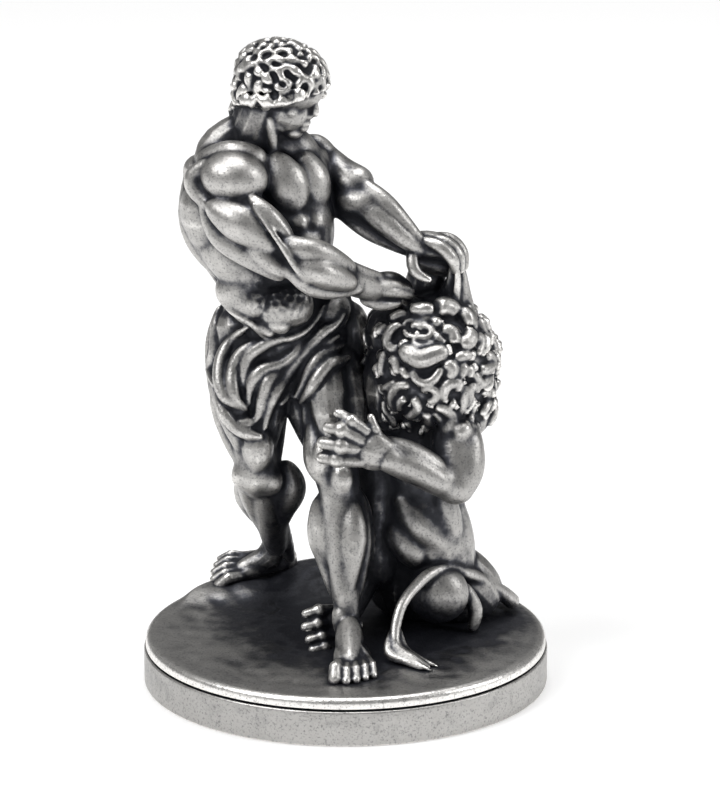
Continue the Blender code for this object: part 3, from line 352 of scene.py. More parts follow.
RIGHT_SHOULDER = (
    (
        "top of the shoulder",
        ((-16.8, 58.9, -2.4), (-14.1, 59.6, -3.0), (-11.2, 59.2, -3.2)),
        (1.7, 2.0, 1.9),
        0.4,
    ),
    (
        "rear head of the deltoid",
        ((-17.3, 58.7, -4.6), (-18.6, 57.2, -4.0), (-17.9, 55.1, -4.6), (-16.1, 53.3, -6.4)),
        (0.8, 1.15, 1.15, 0.7),
        0.4,
    ),
    (
        "outer triceps",
        ((-16.0, 53.3, -7.0), (-12.8, 51.5, -8.2), (-9.0, 48.6, -9.2)),
        (1.5, 2.35, 1.1),
        0.6,
    ),
    (
        "long triceps",
        ((-17.3, 53.3, -5.2), (-15.6, 50.1, -6.0), (-12.0, 47.6, -7.6), (-8.0, 44.8, -8.8)),
        (0.9, 1.35, 1.5, 0.9),
        0.5,
    ),
    ("inner triceps", ((-11.3, 48.6, -8.6), (-7.7, 45.6, -9.6)), (1.2, 1.2), 0.6),
    ("arm bone", ((-12.5, 54.4, -6.2), (-7.2, 47.0, -8.2)), (2.1, 1.9), 0.2),
    ("biceps", ((-11.3, 54.4, -8.2), (-9.4, 52.3, -8.9), (-7.0, 49.9, -9.2)), (0.8, 1.25, 0.8), 0.5),
    (
        "short head of the biceps",
        ((-9.7, 53.6, -7.0), (-8.1, 51.5, -7.6), (-6.8, 49.9, -8.0)),
        (0.7, 0.9, 0.7),
        0.5,
    ),
    (
        "ridge between them",
        (
            (-11.4, 54.0, -9.4), (-9.3, 50.9, -10.4), (-7.7, 48.6, -10.9), (-6.0, 45.9, -11.2),
            (-4.5, 44.3, -11.0),
        ),
        (0.35, 0.4, 0.42, 0.42, 0.35),
        0.3,
    ),
)
RIGHT_FOREARM = (
    (
        "long forearm muscle",
        ((-8.1, 49.6, -9.0), (-5.6, 48.4, -9.8), (-2.7, 47.6, -9.0), (0.5, 46.2, -7.0)),
        (0.8, 1.5, 1.6, 1.2),
        0.45,
    ),
    ("forearm belly", ((-6.1, 47.0, -10.0), (-3.2, 45.5, -10.2), (0.5, 44.3, -8.0)), (0.9, 1.65, 1.3), 0.5),
    (
        "ulna",
        ((-7.2, 45.9, -10.0), (-4.8, 43.9, -9.8), (-1.9, 43.1, -8.4), (1.6, 43.4, -6.6)),
        (0.9, 1.0, 0.95, 0.8),
        0.4,
    ),
    ("wrist bones", ((-1.7, 45.8, -7.4), (0.9, 44.3, -5.2), (3.4, 43.5, -3.4)), (2.1, 1.7, 1.55), 0.25),
    ("wrist tendon", ((-0.7, 47.0, -7.0), (1.9, 45.8, -5.0), (4.4, 45.1, -2.8)), (0.7, 0.6, 0.5), 0.4),
    ("back of the hand", ((2.9, 43.7, -3.4), (5.2, 43.7, -1.8), (7.2, 43.2, -0.6)), (1.7, 1.45, 0.8), 0.35),
    ("first finger", ((4.2, 45.0, -2.6), (6.0, 44.8, -1.2), (7.9, 43.7, 0.2)), (0.6, 0.72, 0.55), 0.3),
    ("second finger", ((4.2, 44.1, -3.4), (6.2, 43.9, -2.0), (8.1, 43.1, -0.8)), (0.6, 0.72, 0.55), 0.3),
    ("third finger", ((3.9, 43.1, -3.8), (6.1, 43.0, -2.4), (7.9, 42.6, -1.2)), (0.6, 0.7, 0.55), 0.3),
    (
        "thumb of the right hand",
        ((2.3, 42.1, -3.8), (4.4, 41.5, -2.8), (6.5, 41.7, -1.8)),
        (0.75, 0.75, 0.55),
        0.3,
    ),
)
RIGHT_LOWER_LEG = (
    ("right knee", ((-12.2, 20.8, -1.0), (-9.2, 20.1, -1.0)), (2.2, 2.1), 0.4),
    (
        "calf, inner head",
        ((-7.4, 21.3, 0.6), (-6.9, 19.4, 1.6), (-7.9, 16.7, 4.0), (-8.5, 13.7, 7.0)),
        (1.6, 2.2, 1.9, 1.2),
        0.4,
    ),
    (
        "shin side muscle",
        ((-12.2, 19.4, 0.0), (-10.8, 16.9, 3.4), (-10.2, 14.7, 6.0)),
        (1.4, 1.5, 1.0),
        0.4,
    ),
    ("shin", ((-10.2, 19.4, -0.2), (-9.2, 15.7, 4.0), (-8.5, 11.8, 10.0)), (1.9, 1.9, 1.6), 0.3),
    (
        "tendon of the heel",
        ((-8.2, 15.7, 6.0), (-7.4, 12.7, 11.0), (-6.8, 10.5, 16.0)),
        (1.2, 1.0, 0.9),
        0.3,
    ),
)
LEFT_LOWER_LEG = (
    (
        "calf at the left",
        ((-3.0, 16.9, -3.4), (-3.0, 13.7, -3.8), (-2.2, 10.3, -4.6), (-1.2, 5.9, -6.4)),
        (1.6, 1.75, 1.4, 1.0),
        0.4,
    ),
    (
        "calf at the right",
        ((1.9, 15.9, -3.6), (2.1, 13.2, -4.0), (1.5, 9.8, -5.0), (0.9, 5.4, -6.8)),
        (1.3, 1.6, 1.3, 0.9),
        0.4,
    ),
    ("shin front", ((-0.4, 16.7, -5.6), (-0.4, 11.3, -6.4), (-0.1, 5.4, -8.4)), (1.7, 1.7, 1.3), 0.3),
    ("knee cap", ((-0.5, 21.0, -5.5), (-0.3, 19.5, -5.8)), (1.5, 1.3), 0.5),
    ("teardrop muscle", ((-2.7, 24.2, -4.6), (-2.9, 21.8, -4.9)), (1.3, 1.6), 0.5),
    ("side of the ankle", ((-0.5, 3.9, -8.4), (-0.1, 1.7, -9.0)), (1.3, 1.35), 0.4),
)
LION_FLANK = (
    ("upper foreleg", ((14.7, 25.5, -3.4), (14.6, 21.6, -5.0), (13.5, 18.9, -6.4)), (2.2, 2.4, 1.9), 0.4),
    ("foreleg muscle", ((5.2, 23.0, -9.0), (8.1, 21.8, -8.8), (11.6, 19.8, -8.2)), (1.5, 1.75, 1.8), 0.5),
    (
        "foreleg muscle above",
        ((4.7, 24.4, -8.8), (7.6, 23.5, -8.2), (11.1, 21.8, -7.6)),
        (1.2, 1.5, 1.5),
        0.5,
    ),
    ("flank", ((9.1, 16.7, 1.6), (10.1, 13.2, 2.0), (11.1, 10.3, 2.6)), (5.6, 5.6, 5.0), 0.3),
    ("ribs", ((7.2, 17.6, -1.8), (9.1, 14.7, -2.2), (11.1, 12.7, -2.0)), (1.8, 2.2, 1.8), 0.5),
    ("side muscle", ((6.4, 13.7, -1.8), (8.6, 11.0, -2.0)), (2.0, 2.2), 0.5),
    ("edge of the ribs", ((11.8, 18.1, -1.8), (13.0, 13.7, -1.4)), (1.8, 1.6), 0.5),
    ("rump", ((13.5, 8.3, 4.0), (15.5, 6.4, 4.4)), (4.4, 4.2), 0.4),
)
LEFT_ARM = (
    ("far deltoid", ((-3.9, 60.9, 5.2), (-2.7, 60.1, 5.0)), (1.7, 1.6), 0.4),
    ("far upper arm", ((-2.4, 59.5, 5.6), (-0.7, 57.4, 3.4), (1.4, 55.4, 1.2)), (1.8, 2.1, 1.7), 0.4),
    ("far biceps", ((-1.4, 58.5, 3.6), (0.4, 56.4, 1.8), (1.5, 54.9, 0.4)), (1.2, 1.75, 1.2), 0.5),
    ("far triceps", ((-2.4, 55.9, 3.8), (-1.2, 54.2, 2.4), (0.9, 52.6, 1.0)), (1.2, 1.7, 1.2), 0.5),
    ("far elbow", ((0.4, 54.4, 1.0), (2.4, 53.9, -0.2)), (1.9, 1.8), 0.4),
    (
        "far forearm top",
        ((1.4, 56.7, 1.4), (4.4, 54.2, -0.4), (7.5, 51.0, -1.0), (9.5, 48.8, -0.6)),
        (1.1, 1.4, 1.1, 0.9),
        0.4,
    ),
    (
        "far forearm middle",
        ((0.9, 54.4, 0.2), (3.9, 52.4, -1.0), (7.0, 49.8, -1.4), (9.0, 48.3, -0.8)),
        (1.5, 1.6, 1.3, 1.1),
        0.4,
    ),
    (
        "far forearm underside",
        ((-0.7, 53.1, 1.6), (2.4, 51.1, 0.4), (5.7, 49.2, 0.0), (8.5, 47.8, 0.0)),
        (1.2, 1.35, 1.1, 0.9),
        0.4,
    ),
    (
        "back of the left hand",
        ((8.5, 48.8, 0.0), (10.5, 48.8, 0.6), (12.6, 48.1, 1.2)),
        (1.7, 1.75, 1.5),
        0.35,
    ),
    (
        "palm of the left hand",
        ((9.0, 47.8, 1.6), (11.1, 47.0, 2.6), (13.1, 46.3, 3.0)),
        (1.9, 2.0, 1.6),
        0.35,
    ),
    (
        "first left finger",
        ((9.8, 49.3, -1.0), (11.6, 48.6, -1.6), (13.1, 47.0, -1.8), (13.3, 45.7, -1.2)),
        (0.7, 0.84, 0.8, 0.62),
        0.25,
    ),
    (
        "second left finger",
        ((10.1, 49.6, 0.2), (12.2, 49.1, 0.0), (13.8, 47.5, -0.4), (14.0, 45.7, -0.2)),
        (0.7, 0.84, 0.8, 0.62),
        0.25,
    ),
    (
        "third left finger",
        ((10.5, 49.8, 1.4), (12.7, 49.5, 1.4), (14.3, 47.8, 1.0), (14.5, 46.0, 0.8)),
        (0.7, 0.84, 0.8, 0.62),
        0.25,
    ),
    (
        "left thumb",
        ((8.4, 48.6, -0.6), (8.2, 46.8, -1.6), (8.8, 45.4, -2.2), (10.2, 44.6, -2.4)),
        (0.9, 0.85, 0.75, 0.55),
        0.25,
    ),
)


def torso_frames():
    chest_up = (MAN["neck"] - MAN["waist"]).normalized()
    pelvis = Frame(MAN["pelvis"], PELVIS_FRONT, vec(0, 0, 1))
    chest = Frame(MAN["chest"], CHEST_FRONT, chest_up)
    return pelvis, chest


def torso(clay):
    pelvis, chest = torso_frames()
    waist = pelvis.blended(chest, 0.5)
    # Rib cage, belly and hips
    clay.ball(chest.at(0, 0.3, -0.2), (7.8, 8.1, 8.4), chest, sides=24, rings=16)
    clay.ball(chest.at(0, -0.8, 4.0), (7.8, 5.4, 4.4), chest)
    clay.ball(waist.at(0, 0.4, 0.6), (6.6, 5.6, 6.6), waist, sides=20, rings=14)
    clay.bone(MAN["waist"] + vec(0, 0, 3), MAN["pelvis"] + vec(0, 0, 1), 6.0, 6.4)
    clay.ball(pelvis.at(0, -0.3, 1.5), (7.6, 5.4, 4.6), pelvis)
    for side in (RIGHT, LEFT):
        clay.lump(
            [
                chest.at(side * 0.6, 4.6, 7.0),
                chest.at(side * 4.4, 3.8, 7.3),
                chest.at(side * 8.2, 1.6, 7.4),
            ],
            [0.8, 0.7, 0.9],
            fullness=0.5,
        )
        # Broad back muscle from the armpit to the waist
        clay.lump(
            [
                chest.at(side * 6.6, -2.6, 5.0),
                chest.at(side * 7.3, -2.0, 0.6),
                chest.at(side * 5.2, -1.6, -8.0),
            ],
            [2.6, 3.3, 1.2],
            flat=0.8,
            facing=chest.turned(side, -0.4, 0),
            fullness=0.7,
            sides=16,
        )
        # Shoulder blade and the muscles round it
        clay.lump([chest.at(side * 2.2, -5.4, 0.6), chest.at(side * 7.2, -3.6, 4.6)], 2.3, fullness=0.8)
        clay.lump([chest.at(side * 2.4, -5.4, 4.2), chest.at(side * 7.8, -2.6, 6.6)], 2.1, fullness=0.8)
        # Long muscles beside the spine
        clay.lump(
            [
                pelvis.at(side * 1.8, -4.6, 1.5),
                chest.at(side * 1.8, -5.4, -7),
                chest.at(side * 1.7, -6.0, 2),
            ],
            [1.7, 1.6, 1.2],
            fullness=0.6,
        )
        # Trapezius from the neck to the shoulder
        clay.lump(
            [
                MAN["neck"] + vec(0.6, 0, 4.6),
                chest.at(side * 3.6, -2.0, 8.6),
                chest.at(side * 8.0, -1.4, 7.2),
            ],
            [2.0, 2.5, 1.4],
            fullness=0.6,
        )
        clay.lump([chest.at(side * 1.2, -5.0, 8.6), chest.at(side * 1.5, -6.2, 0.0)], 2.2, fullness=0.9)
        # Buttock
        clay.ball(pelvis.at(side * 3.7, -3.6, -1.6), (3.7, 3.5, 4.0), pelvis)
    clay.forms(CHEST_AND_BACK)
    # Breasts: two plates with the breast bone between them
    for path, radii, facing in (
        (((-9.2, 60.0, -2.2), (-7.4, 56.5, -3.2), (-6.0, 52.8, -3.3)), [1.9, 2.75, 2.3], (0.25, -1, 0.25)),
        (((-5.2, 60.1, -0.4), (-3.9, 56.8, -1.0), (-3.1, 53.5, -1.2)), [1.6, 2.2, 1.9], (0.6, -0.8, 0.2)),
    ):
        path = [seen(*p) for p in path]
        clay.lump(path, radii, flat=0.62, facing=facing, fullness=0.5, sides=20, rings=20)
    # The deltoid's big round mass
    shoulder = Frame(seen(-13.6, 57.1, -5.0), (0.1, 1, 0), (0.12, 0, 1))
    clay.ball(shoulder.origin, (4.05, 3.5, 3.1), shoulder, sides=32, rings=24)
    clay.forms(HIP_AND_BELLY)


def neck_and_head(clay):
    _, chest = torso_frames()
    head = Frame(MAN["head"], HEAD_FRONT, vec(0.30, -0.10, 1))
    clay.bone(chest.at(0, -0.4, 7.2), head.at(0, -1.2, -2.4), 4.1, 3.5)
    for side in (RIGHT, LEFT):
        clay.lump(
            [chest.at(side * 1.0, 4.2, 7.0), head.at(side * 3.0, 0.3, -2.8)], [0.6, 0.8], fullness=0.5
        )
    # Skull, jaw and chin
    clay.ball(head.at(0, -0.3, 0.6), (4.0, 4.6, 4.1), head)
    clay.ball(head.at(0, 0.9, -2.0), (3.2, 3.5, 3.5), head)
    clay.ball(head.at(0, 2.8, -4.5), (1.5, 1.2, 1.0), head)
    # Brow, nose, lips, cheeks and ears
    clay.lump([head.at(2.7, 3.4, 0.2), head.at(0, 4.3, 0.3), head.at(-2.7, 3.4, 0.2)], 0.55, fullness=0.5)
    clay.lump([head.at(0, 4.2, 0.1), head.at(0, 5.0, -1.9)], [0.36, 0.52], fullness=0.5)
    clay.lump([head.at(0.7, 4.3, -2.05), head.at(-0.7, 4.3, -2.05)], 0.36, fullness=0.5)
    clay.lump(
        [head.at(1.1, 3.8, -3.1), head.at(0, 4.3, -3.0), head.at(-1.1, 3.8, -3.1)], 0.35, fullness=0.5
    )
    clay.lump(
        [head.at(0.9, 3.8, -3.7), head.at(0, 4.2, -3.75), head.at(-0.9, 3.8, -3.7)], 0.38, fullness=0.5
    )
    for side in (RIGHT, LEFT):
        clay.ball(head.at(side * 1.9, 2.5, -1.6), (1.1, 0.9, 0.9), head)
        clay.ball(head.at(side * 1.5, 3.35, -0.6), (0.7, 0.5, 0.42), head)
        clay.lump([head.at(side * 2.6, -0.4, -3.0), head.at(side * 1.4, 2.4, -4.4)], 0.9, fullness=0.5)
        clay.ball(head.at(side * 3.9, -0.3, -1.0), (0.5, 0.9, 1.4), head)
    return head


def hair_edge(x, y):
    """The height at which the hair ends, lower at the nape."""
    return 68.5 + 0.2 * (x + 7.4) - 0.62 * np.clip(y + 0.6, 0, 6.0)


def hair_cap(clay, head):
    clay.ball(head.at(0, -0.5, 1.1), (4.6, 5.4, 4.2), head, sides=24, rings=16)
    clay.ball(head.at(0, -2.6, -1.0), (4.0, 3.1, 3.2), head)
    # Rolled edge of the hair
    body = clay.surface()
    middle = head.at(0, -0.5, 0.6)
    edge = []
    for i in range(33):
        angle = 2 * math.pi * i / 32
        x, y = middle.x + 4.6 * math.cos(angle), middle.y + 4.6 * math.sin(angle)
        hit, normal, _, _ = body.find_nearest(vec(x, y, float(hair_edge(x, y)) + 0.3))
        edge.append(hit + normal * 0.15)
    clay.lump(edge, 0.62, fullness=0.05, sides=10, rings=96)


def carve_man(made):
    """Skin drawn tight over the muscles, curls on the head, and short hair on the belly."""
    points, _ = figure_points(made)
    x, y, z = points.T
    upper = band(z, 41.0, 43.0, 62.0, 64.0) * (1 - smooth_step(x, 3.0, 6.0))
    lower = band(z, 5.0, 7.0, 23.0, 26.0)
    soften(made, upper + lower, 16, 0.08)
    soften(made, upper * smooth_step(y, 3.5, 6.0), 24, 0.08)
    points, normals = figure_points(made)
    x, y, z = points.T
    hair = smooth_step(z - hair_edge(x, y), -0.45, -0.05) * (z > 62)
    crown = 0.2 * smooth_step(z, 72.6, 74.2)
    lock = ridged(curls(points, width=1.2, seed=5) + 0.3)
    shift(made, hair * (0.12 - crown + 0.62 * lock))
    right, up = front_view(points)
    facing = smooth_step(normals @ np.array(FRONT_BACK), 0.2, 0.5) * (x < 0)
    belly = np.exp(-(((right + 8.4) / 3.2) ** 2) - ((up - 42.2) / 1.9) ** 2)
    shift(made, facing * belly * 0.08 * np.clip(curls(points, width=0.85, seed=31), -1, 1))


def leg(clay, side, hip, knee, ankle, knee_front):
    upper = Limb(hip, knee, knee_front, side)
    lower = Limb(knee, ankle, knee_front, side)

    def muscle(limb, points, radii, fullness=0.75):
        clay.lump([limb.at(*p) for p in points], radii, fullness=fullness, sides=14, rings=12)

    clay.bone(hip, knee, 4.0, 2.5)
    # Front of the thigh, its inner and outer heads, and the long strap muscle over them
    muscle(upper, [(0.0, 0.8, 1.4), (0.45, 0.4, 2.7), (0.9, 0.1, 1.6)], [2.3, 2.6, 1.0])
    muscle(upper, [(0.05, 2.7, 0.0), (0.5, 2.7, 0.8), (0.95, 1.6, 0.9)], [2.3, 2.5, 1.1])
    muscle(upper, [(0.45, -1.3, 1.4), (0.8, -1.8, 1.4), (0.99, -1.3, 1.3)], [1.2, 2.0, 1.1])
    muscle(upper, [(0.0, 1.0, 2.6), (0.45, -2.2, 1.9), (1.04, -2.2, -0.4)], [0.8, 0.9, 0.7], 0.4)
    # Inside and back of the thigh
    muscle(upper, [(-0.05, -2.6, -0.6), (0.4, -2.8, -0.3), (0.85, -1.9, -0.6)], [2.4, 2.7, 1.2])
    muscle(upper, [(0.0, 1.3, -2.3), (0.5, 1.5, -2.5), (1.05, 1.7, -1.6)], [2.4, 2.2, 0.8])
    muscle(upper, [(0.0, -1.2, -2.3), (0.5, -1.3, -2.4), (1.05, -1.5, -1.6)], [2.4, 2.1, 0.8])
    # Knee
    clay.ball(knee + upper.front * 1.2, (1.6, 1.3, 1.7), sides=20, rings=14)
    clay.lump([knee + lower.towards(2.2, 0.2), knee + lower.towards(-2.2, 0.2)], 2.0, fullness=0.6)
    muscle(lower, [(0.0, -1.3, 1.4), (0.1, -1.0, 1.5)], [0.8, 0.6], 0.5)
    # Shin, the muscles beside it, and the calf
    clay.bone(lower.at(0.05), ankle, 2.5, 1.45)
    muscle(lower, [(0.1, -0.5, 1.7), (0.5, -0.6, 1.4), (0.95, -0.4, 0.7)], [0.8, 0.7, 0.7], 0.5)
    muscle(lower, [(0.03, 1.4, 0.9), (0.35, 1.3, 1.3), (0.82, 0.2, 1.0)], [1.1, 1.7, 0.7])
    muscle(lower, [(0.02, 2.3, -0.1), (0.4, 2.3, -0.1), (0.85, 1.2, -0.3)], [1.0, 1.2, 0.7])
    muscle(lower, [(-0.03, -1.3, -1.2), (0.27, -1.7, -1.3), (0.7, -0.8, -1.2)], [1.4, 2.2, 1.0])
    muscle(lower, [(-0.03, 1.3, -1.2), (0.24, 1.7, -1.4), (0.64, 0.8, -1.4)], [1.4, 2.1, 1.0])
    muscle(lower, [(0.25, 0.0, -1.2), (0.55, 0.0, -1.2), (0.88, 0.0, -1.4)], [2.2, 1.9, 0.8], 0.6)
    muscle(lower, [(0.6, 0.0, -1.6), (1.0, 0.0, -1.7)], [0.8, 0.7], 0.4)
    # Ankle bones
    clay.ball(lower.at(0.98, 1.25, 0.0), (0.65, 0.65, 0.7))
    clay.ball(lower.at(0.94, -1.25, 0.1), (0.7, 0.7, 0.75))


def foot(clay, side, heel, toe_tip, ankle, roll=0.0):
    """A bare foot from the back of its heel to its middle toe. roll lifts its outer edge, in degrees."""
    heel, toe_tip = Vector(heel), Vector(toe_tip)
    reach = toe_tip - heel
    length = reach.length
    level = vec(0, 0, 1).cross(reach).normalized() * side
    lift = math.radians(roll)
    inner = level * math.cos(lift) - vec(0, 0, 1) * math.sin(lift)
    up = vec(0, 0, 1) * math.cos(lift) + level * math.sin(lift)

    def at(share, across, height):
        return heel + reach * share + inner * across + up * height

    clay.ball(at(0.12, 0, 1.5), (1.6, 1.6, 1.7))
    clay.lump([ankle + up * 1.6, at(0.34, 0.3, 2.6), at(0.70, 0.4, 1.2)], [1.5, 1.75, 1.3], fullness=0.4)
    clay.lump([at(0.05, -0.4, 1.0), at(0.4, -1.2, 0.9), at(0.68, -1.7, 0.8)], [1.4, 1.2, 1.0], fullness=0.5)
    clay.lump([at(0.05, 0.3, 1.2), at(0.4, 0.9, 1.7), at(0.70, 1.6, 1.1)], [1.4, 1.2, 1.1], fullness=0.5)
    clay.lump([at(0.66, -1.8, 0.7), at(0.70, 1.9, 0.9)], [0.9, 1.2], fullness=0.5)
    toes = (
        (2.05, 1.0, 0.92), (0.72, 1.0, 0.62), (-0.42, 0.96, 0.6), (-1.48, 0.9, 0.56), (-2.45, 0.83, 0.52),
    )
    for i, (across, end, radius) in enumerate(toes):
        root = at(0.66 - 0.03 * i, across * 0.8, 1.3)
        bend = at(end - 1.9 / length, across * 1.02, radius + 0.85)
        tip = at(end - radius / length, across * 1.05, radius * 0.75)
        clay.bone(root, bend, radius * 0.75, radius * 0.85, sides=10)
        clay.bone(bend, tip, radius * 0.85, radius * 0.9, sides=10)
        # Tendon over the instep
        clay.lump(
            [at(0.42, across * 0.35 + 0.2, 3.0), root, bend], [0.35, 0.45, 0.5], fullness=0.4, sides=8
        )


# The front of the cloth, as drawn from the front in millimetres: right of the axis and above the ground
FRONT_FOLDS = (
    (
        (-11.9, 38.9), (-13.7, 37.5), (-14.8, 35.6), (-15.3, 33.4), (-15.1, 31.4), (-14.2, 29.8),
        (-11.9, 28.6),
    ),
    (
        (-10.1, 37.4), (-11.9, 36.4), (-13.1, 35.0), (-13.8, 33.4), (-13.9, 31.7), (-13.4, 30.0),
        (-12.0, 28.8),
    ),
    ((-5.3, 38.1), (-7.3, 37.5), (-9.2, 37.0), (-10.9, 36.1), (-11.9, 35.0), (-12.4, 33.4), (-12.6, 31.3)),
    ((-5.1, 37.5), (-6.4, 35.6), (-7.8, 34.5), (-10.1, 33.6), (-11.2, 32.5), (-11.7, 30.9), (-12.0, 29.0)),
    ((-4.8, 37.3), (-6.2, 35.7), (-8.1, 33.8), (-9.5, 32.2), (-10.0, 30.3), (-10.6, 28.3), (-11.3, 26.9)),
    (
        (-0.1, 40.6), (-1.2, 39.2), (-2.8, 38.1), (-4.5, 36.4), (-6.2, 34.5), (-7.6, 32.5),
        (-8.7, 30.6), (-9.5, 28.2), (-10.0, 26.0),
    ),
    ((-0.7, 37.9), (-2.1, 37.1), (-3.9, 35.9), (-5.1, 34.5), (-6.2, 32.8), (-7.0, 30.9), (-8.1, 29.2)),
    ((0.1, 37.1), (-1.4, 36.2), (-3.0, 35.2), (-3.9, 33.8), (-4.8, 32.0), (-6.3, 29.9)),
    ((0.6, 35.1), (-0.6, 34.7), (-2.0, 34.3), (-3.2, 32.8), (-4.2, 31.1), (-5.6, 29.4)),
    ((-15.9, 31.1), (-14.8, 28.4), (-13.4, 26.7), (-11.7, 25.7), (-10.1, 25.3)),
    ((-13.8, 27.2), (-12.5, 27.0), (-11.1, 27.3)),
    ((-15.1, 41.4), (-15.9, 39.5), (-16.2, 37.5), (-16.2, 35.6), (-16.3, 33.4), (-15.9, 31.5)),
)
BELT_EDGE = (
    (-15.8, 42.3), (-14.2, 41.0), (-11.4, 39.2), (-9.5, 37.6), (-7.3, 37.4), (-5.3, 38.1),
    (-3.7, 39.6), (-2.3, 41.7),
)


def loincloth(clay):
    pelvis, _ = torso_frames()
    # The wrap round the hips and the upper thighs
    clay.ball(pelvis.at(0.0, -0.3, -1.2), (8.0, 6.2, 5.0), pelvis, sides=24, rings=16)
    clay.ball(pelvis.at(0.0, -2.2, -1.6), (7.6, 5.3, 6.0), pelvis, sides=28, rings=20)
    clay.lump(
        [pelvis.at(4.2, 0.5, 0), pelvis.at(3.4, 0.7, -4.5), pelvis.at(2.8, 1.1, -9.2)],
        [4.4, 5.0, 4.7],
        fullness=0.4,
        sides=24,
        rings=16,
    )
    clay.lump(
        [pelvis.at(-4.0, 0.8, 2.6), pelvis.at(-4.2, 1.4, -3.0)],
        [4.6, 4.5],
        fullness=0.5,
        sides=20,
        rings=14,
    )
    clay.lump([pelvis.at(-7.0, 2.4, 4.6), pelvis.at(-5.4, 4.2, 0.6)], [2.0, 2.2], fullness=0.6)
    clay.lump([vec(-1.2, 2.0, 41.0), vec(0.8, 3.4, 38.6), vec(0.8, 4.0, 30.0)], [1.4, 2.2, 2.6], fullness=0.3)
    # Folds that sweep from the gather at the left hip, and the outer hem
    body = clay.surface()
    for fold in FRONT_FOLDS:
        clay.lump(drawn(body, fold, 0.15), [0.5, 0.85, 0.9, 0.9, 0.6], fullness=0.4, sides=10, rings=24)
    # Folds round the back
    for i in range(9):
        angle = math.radians(mix(96, 264, i / 8))
        out = vec(math.sin(angle), math.cos(angle), 0)
        low = -9.6 if out.x > 0 else -6.5
        clay.lump(
            [
                pelvis.at(out.x * 7.5, out.y * 5.8, 2.8),
                pelvis.at(out.x * 8.0 + 0.4, out.y * 7.0 - 0.3, -2.5),
                pelvis.at(out.x * 7.0 + 1.2, out.y * 5.6, low),
            ],
            [0.6, 1.0, 0.9],
            fullness=0.45,
            sides=10,
            rings=16,
        )
    # Rolled upper edge, pushed down by the belly in front
    clay.lump(drawn(body, BELT_EDGE, 0.0), 0.55, fullness=0.3, sides=8, rings=30)
    roll = (
        (-5.6, 4.6, 3.6),
        (-8.2, 0.6, 4.0),
        (-5.6, -5.0, 4.0),
        (0.0, -6.2, 4.0),
        (5.6, -5.0, 4.4),
        (7.7, -0.8, 5.0),
    )
    clay.lump([pelvis.at(*p) for p in roll], 0.65, fullness=0.3, sides=8, rings=30)


def man(clay):
    torso(clay)
    head = neck_and_head(clay)
    hair_cap(clay, head)
    for muscles in (RIGHT_LOWER_LEG, LEFT_LOWER_LEG, RIGHT_SHOULDER, RIGHT_FOREARM):
        clay.forms(muscles)
    clay.bone(MAN["shoulder_left"], seen(1.5, 56.5, 2.0), 2.3, 2.0)
    clay.forms(LEFT_ARM)
    leg(clay, RIGHT, MAN["hip_right"], MAN["knee_right"], MAN["ankle_right"], vec(-0.62, -0.78, 0))
    leg(clay, LEFT, MAN["hip_left"], MAN["knee_left"], MAN["ankle_left"], vec(0.0, -1, 0))
    foot(clay, RIGHT, vec(-6.7, 20.0, 1.8), vec(-17.7, 15.6, 1.5), MAN["ankle_right"], roll=28)
    foot(clay, LEFT, vec(0.7, -6.8, 0), vec(0.9, -20.3, 0), MAN["ankle_left"])
    loincloth(clay)


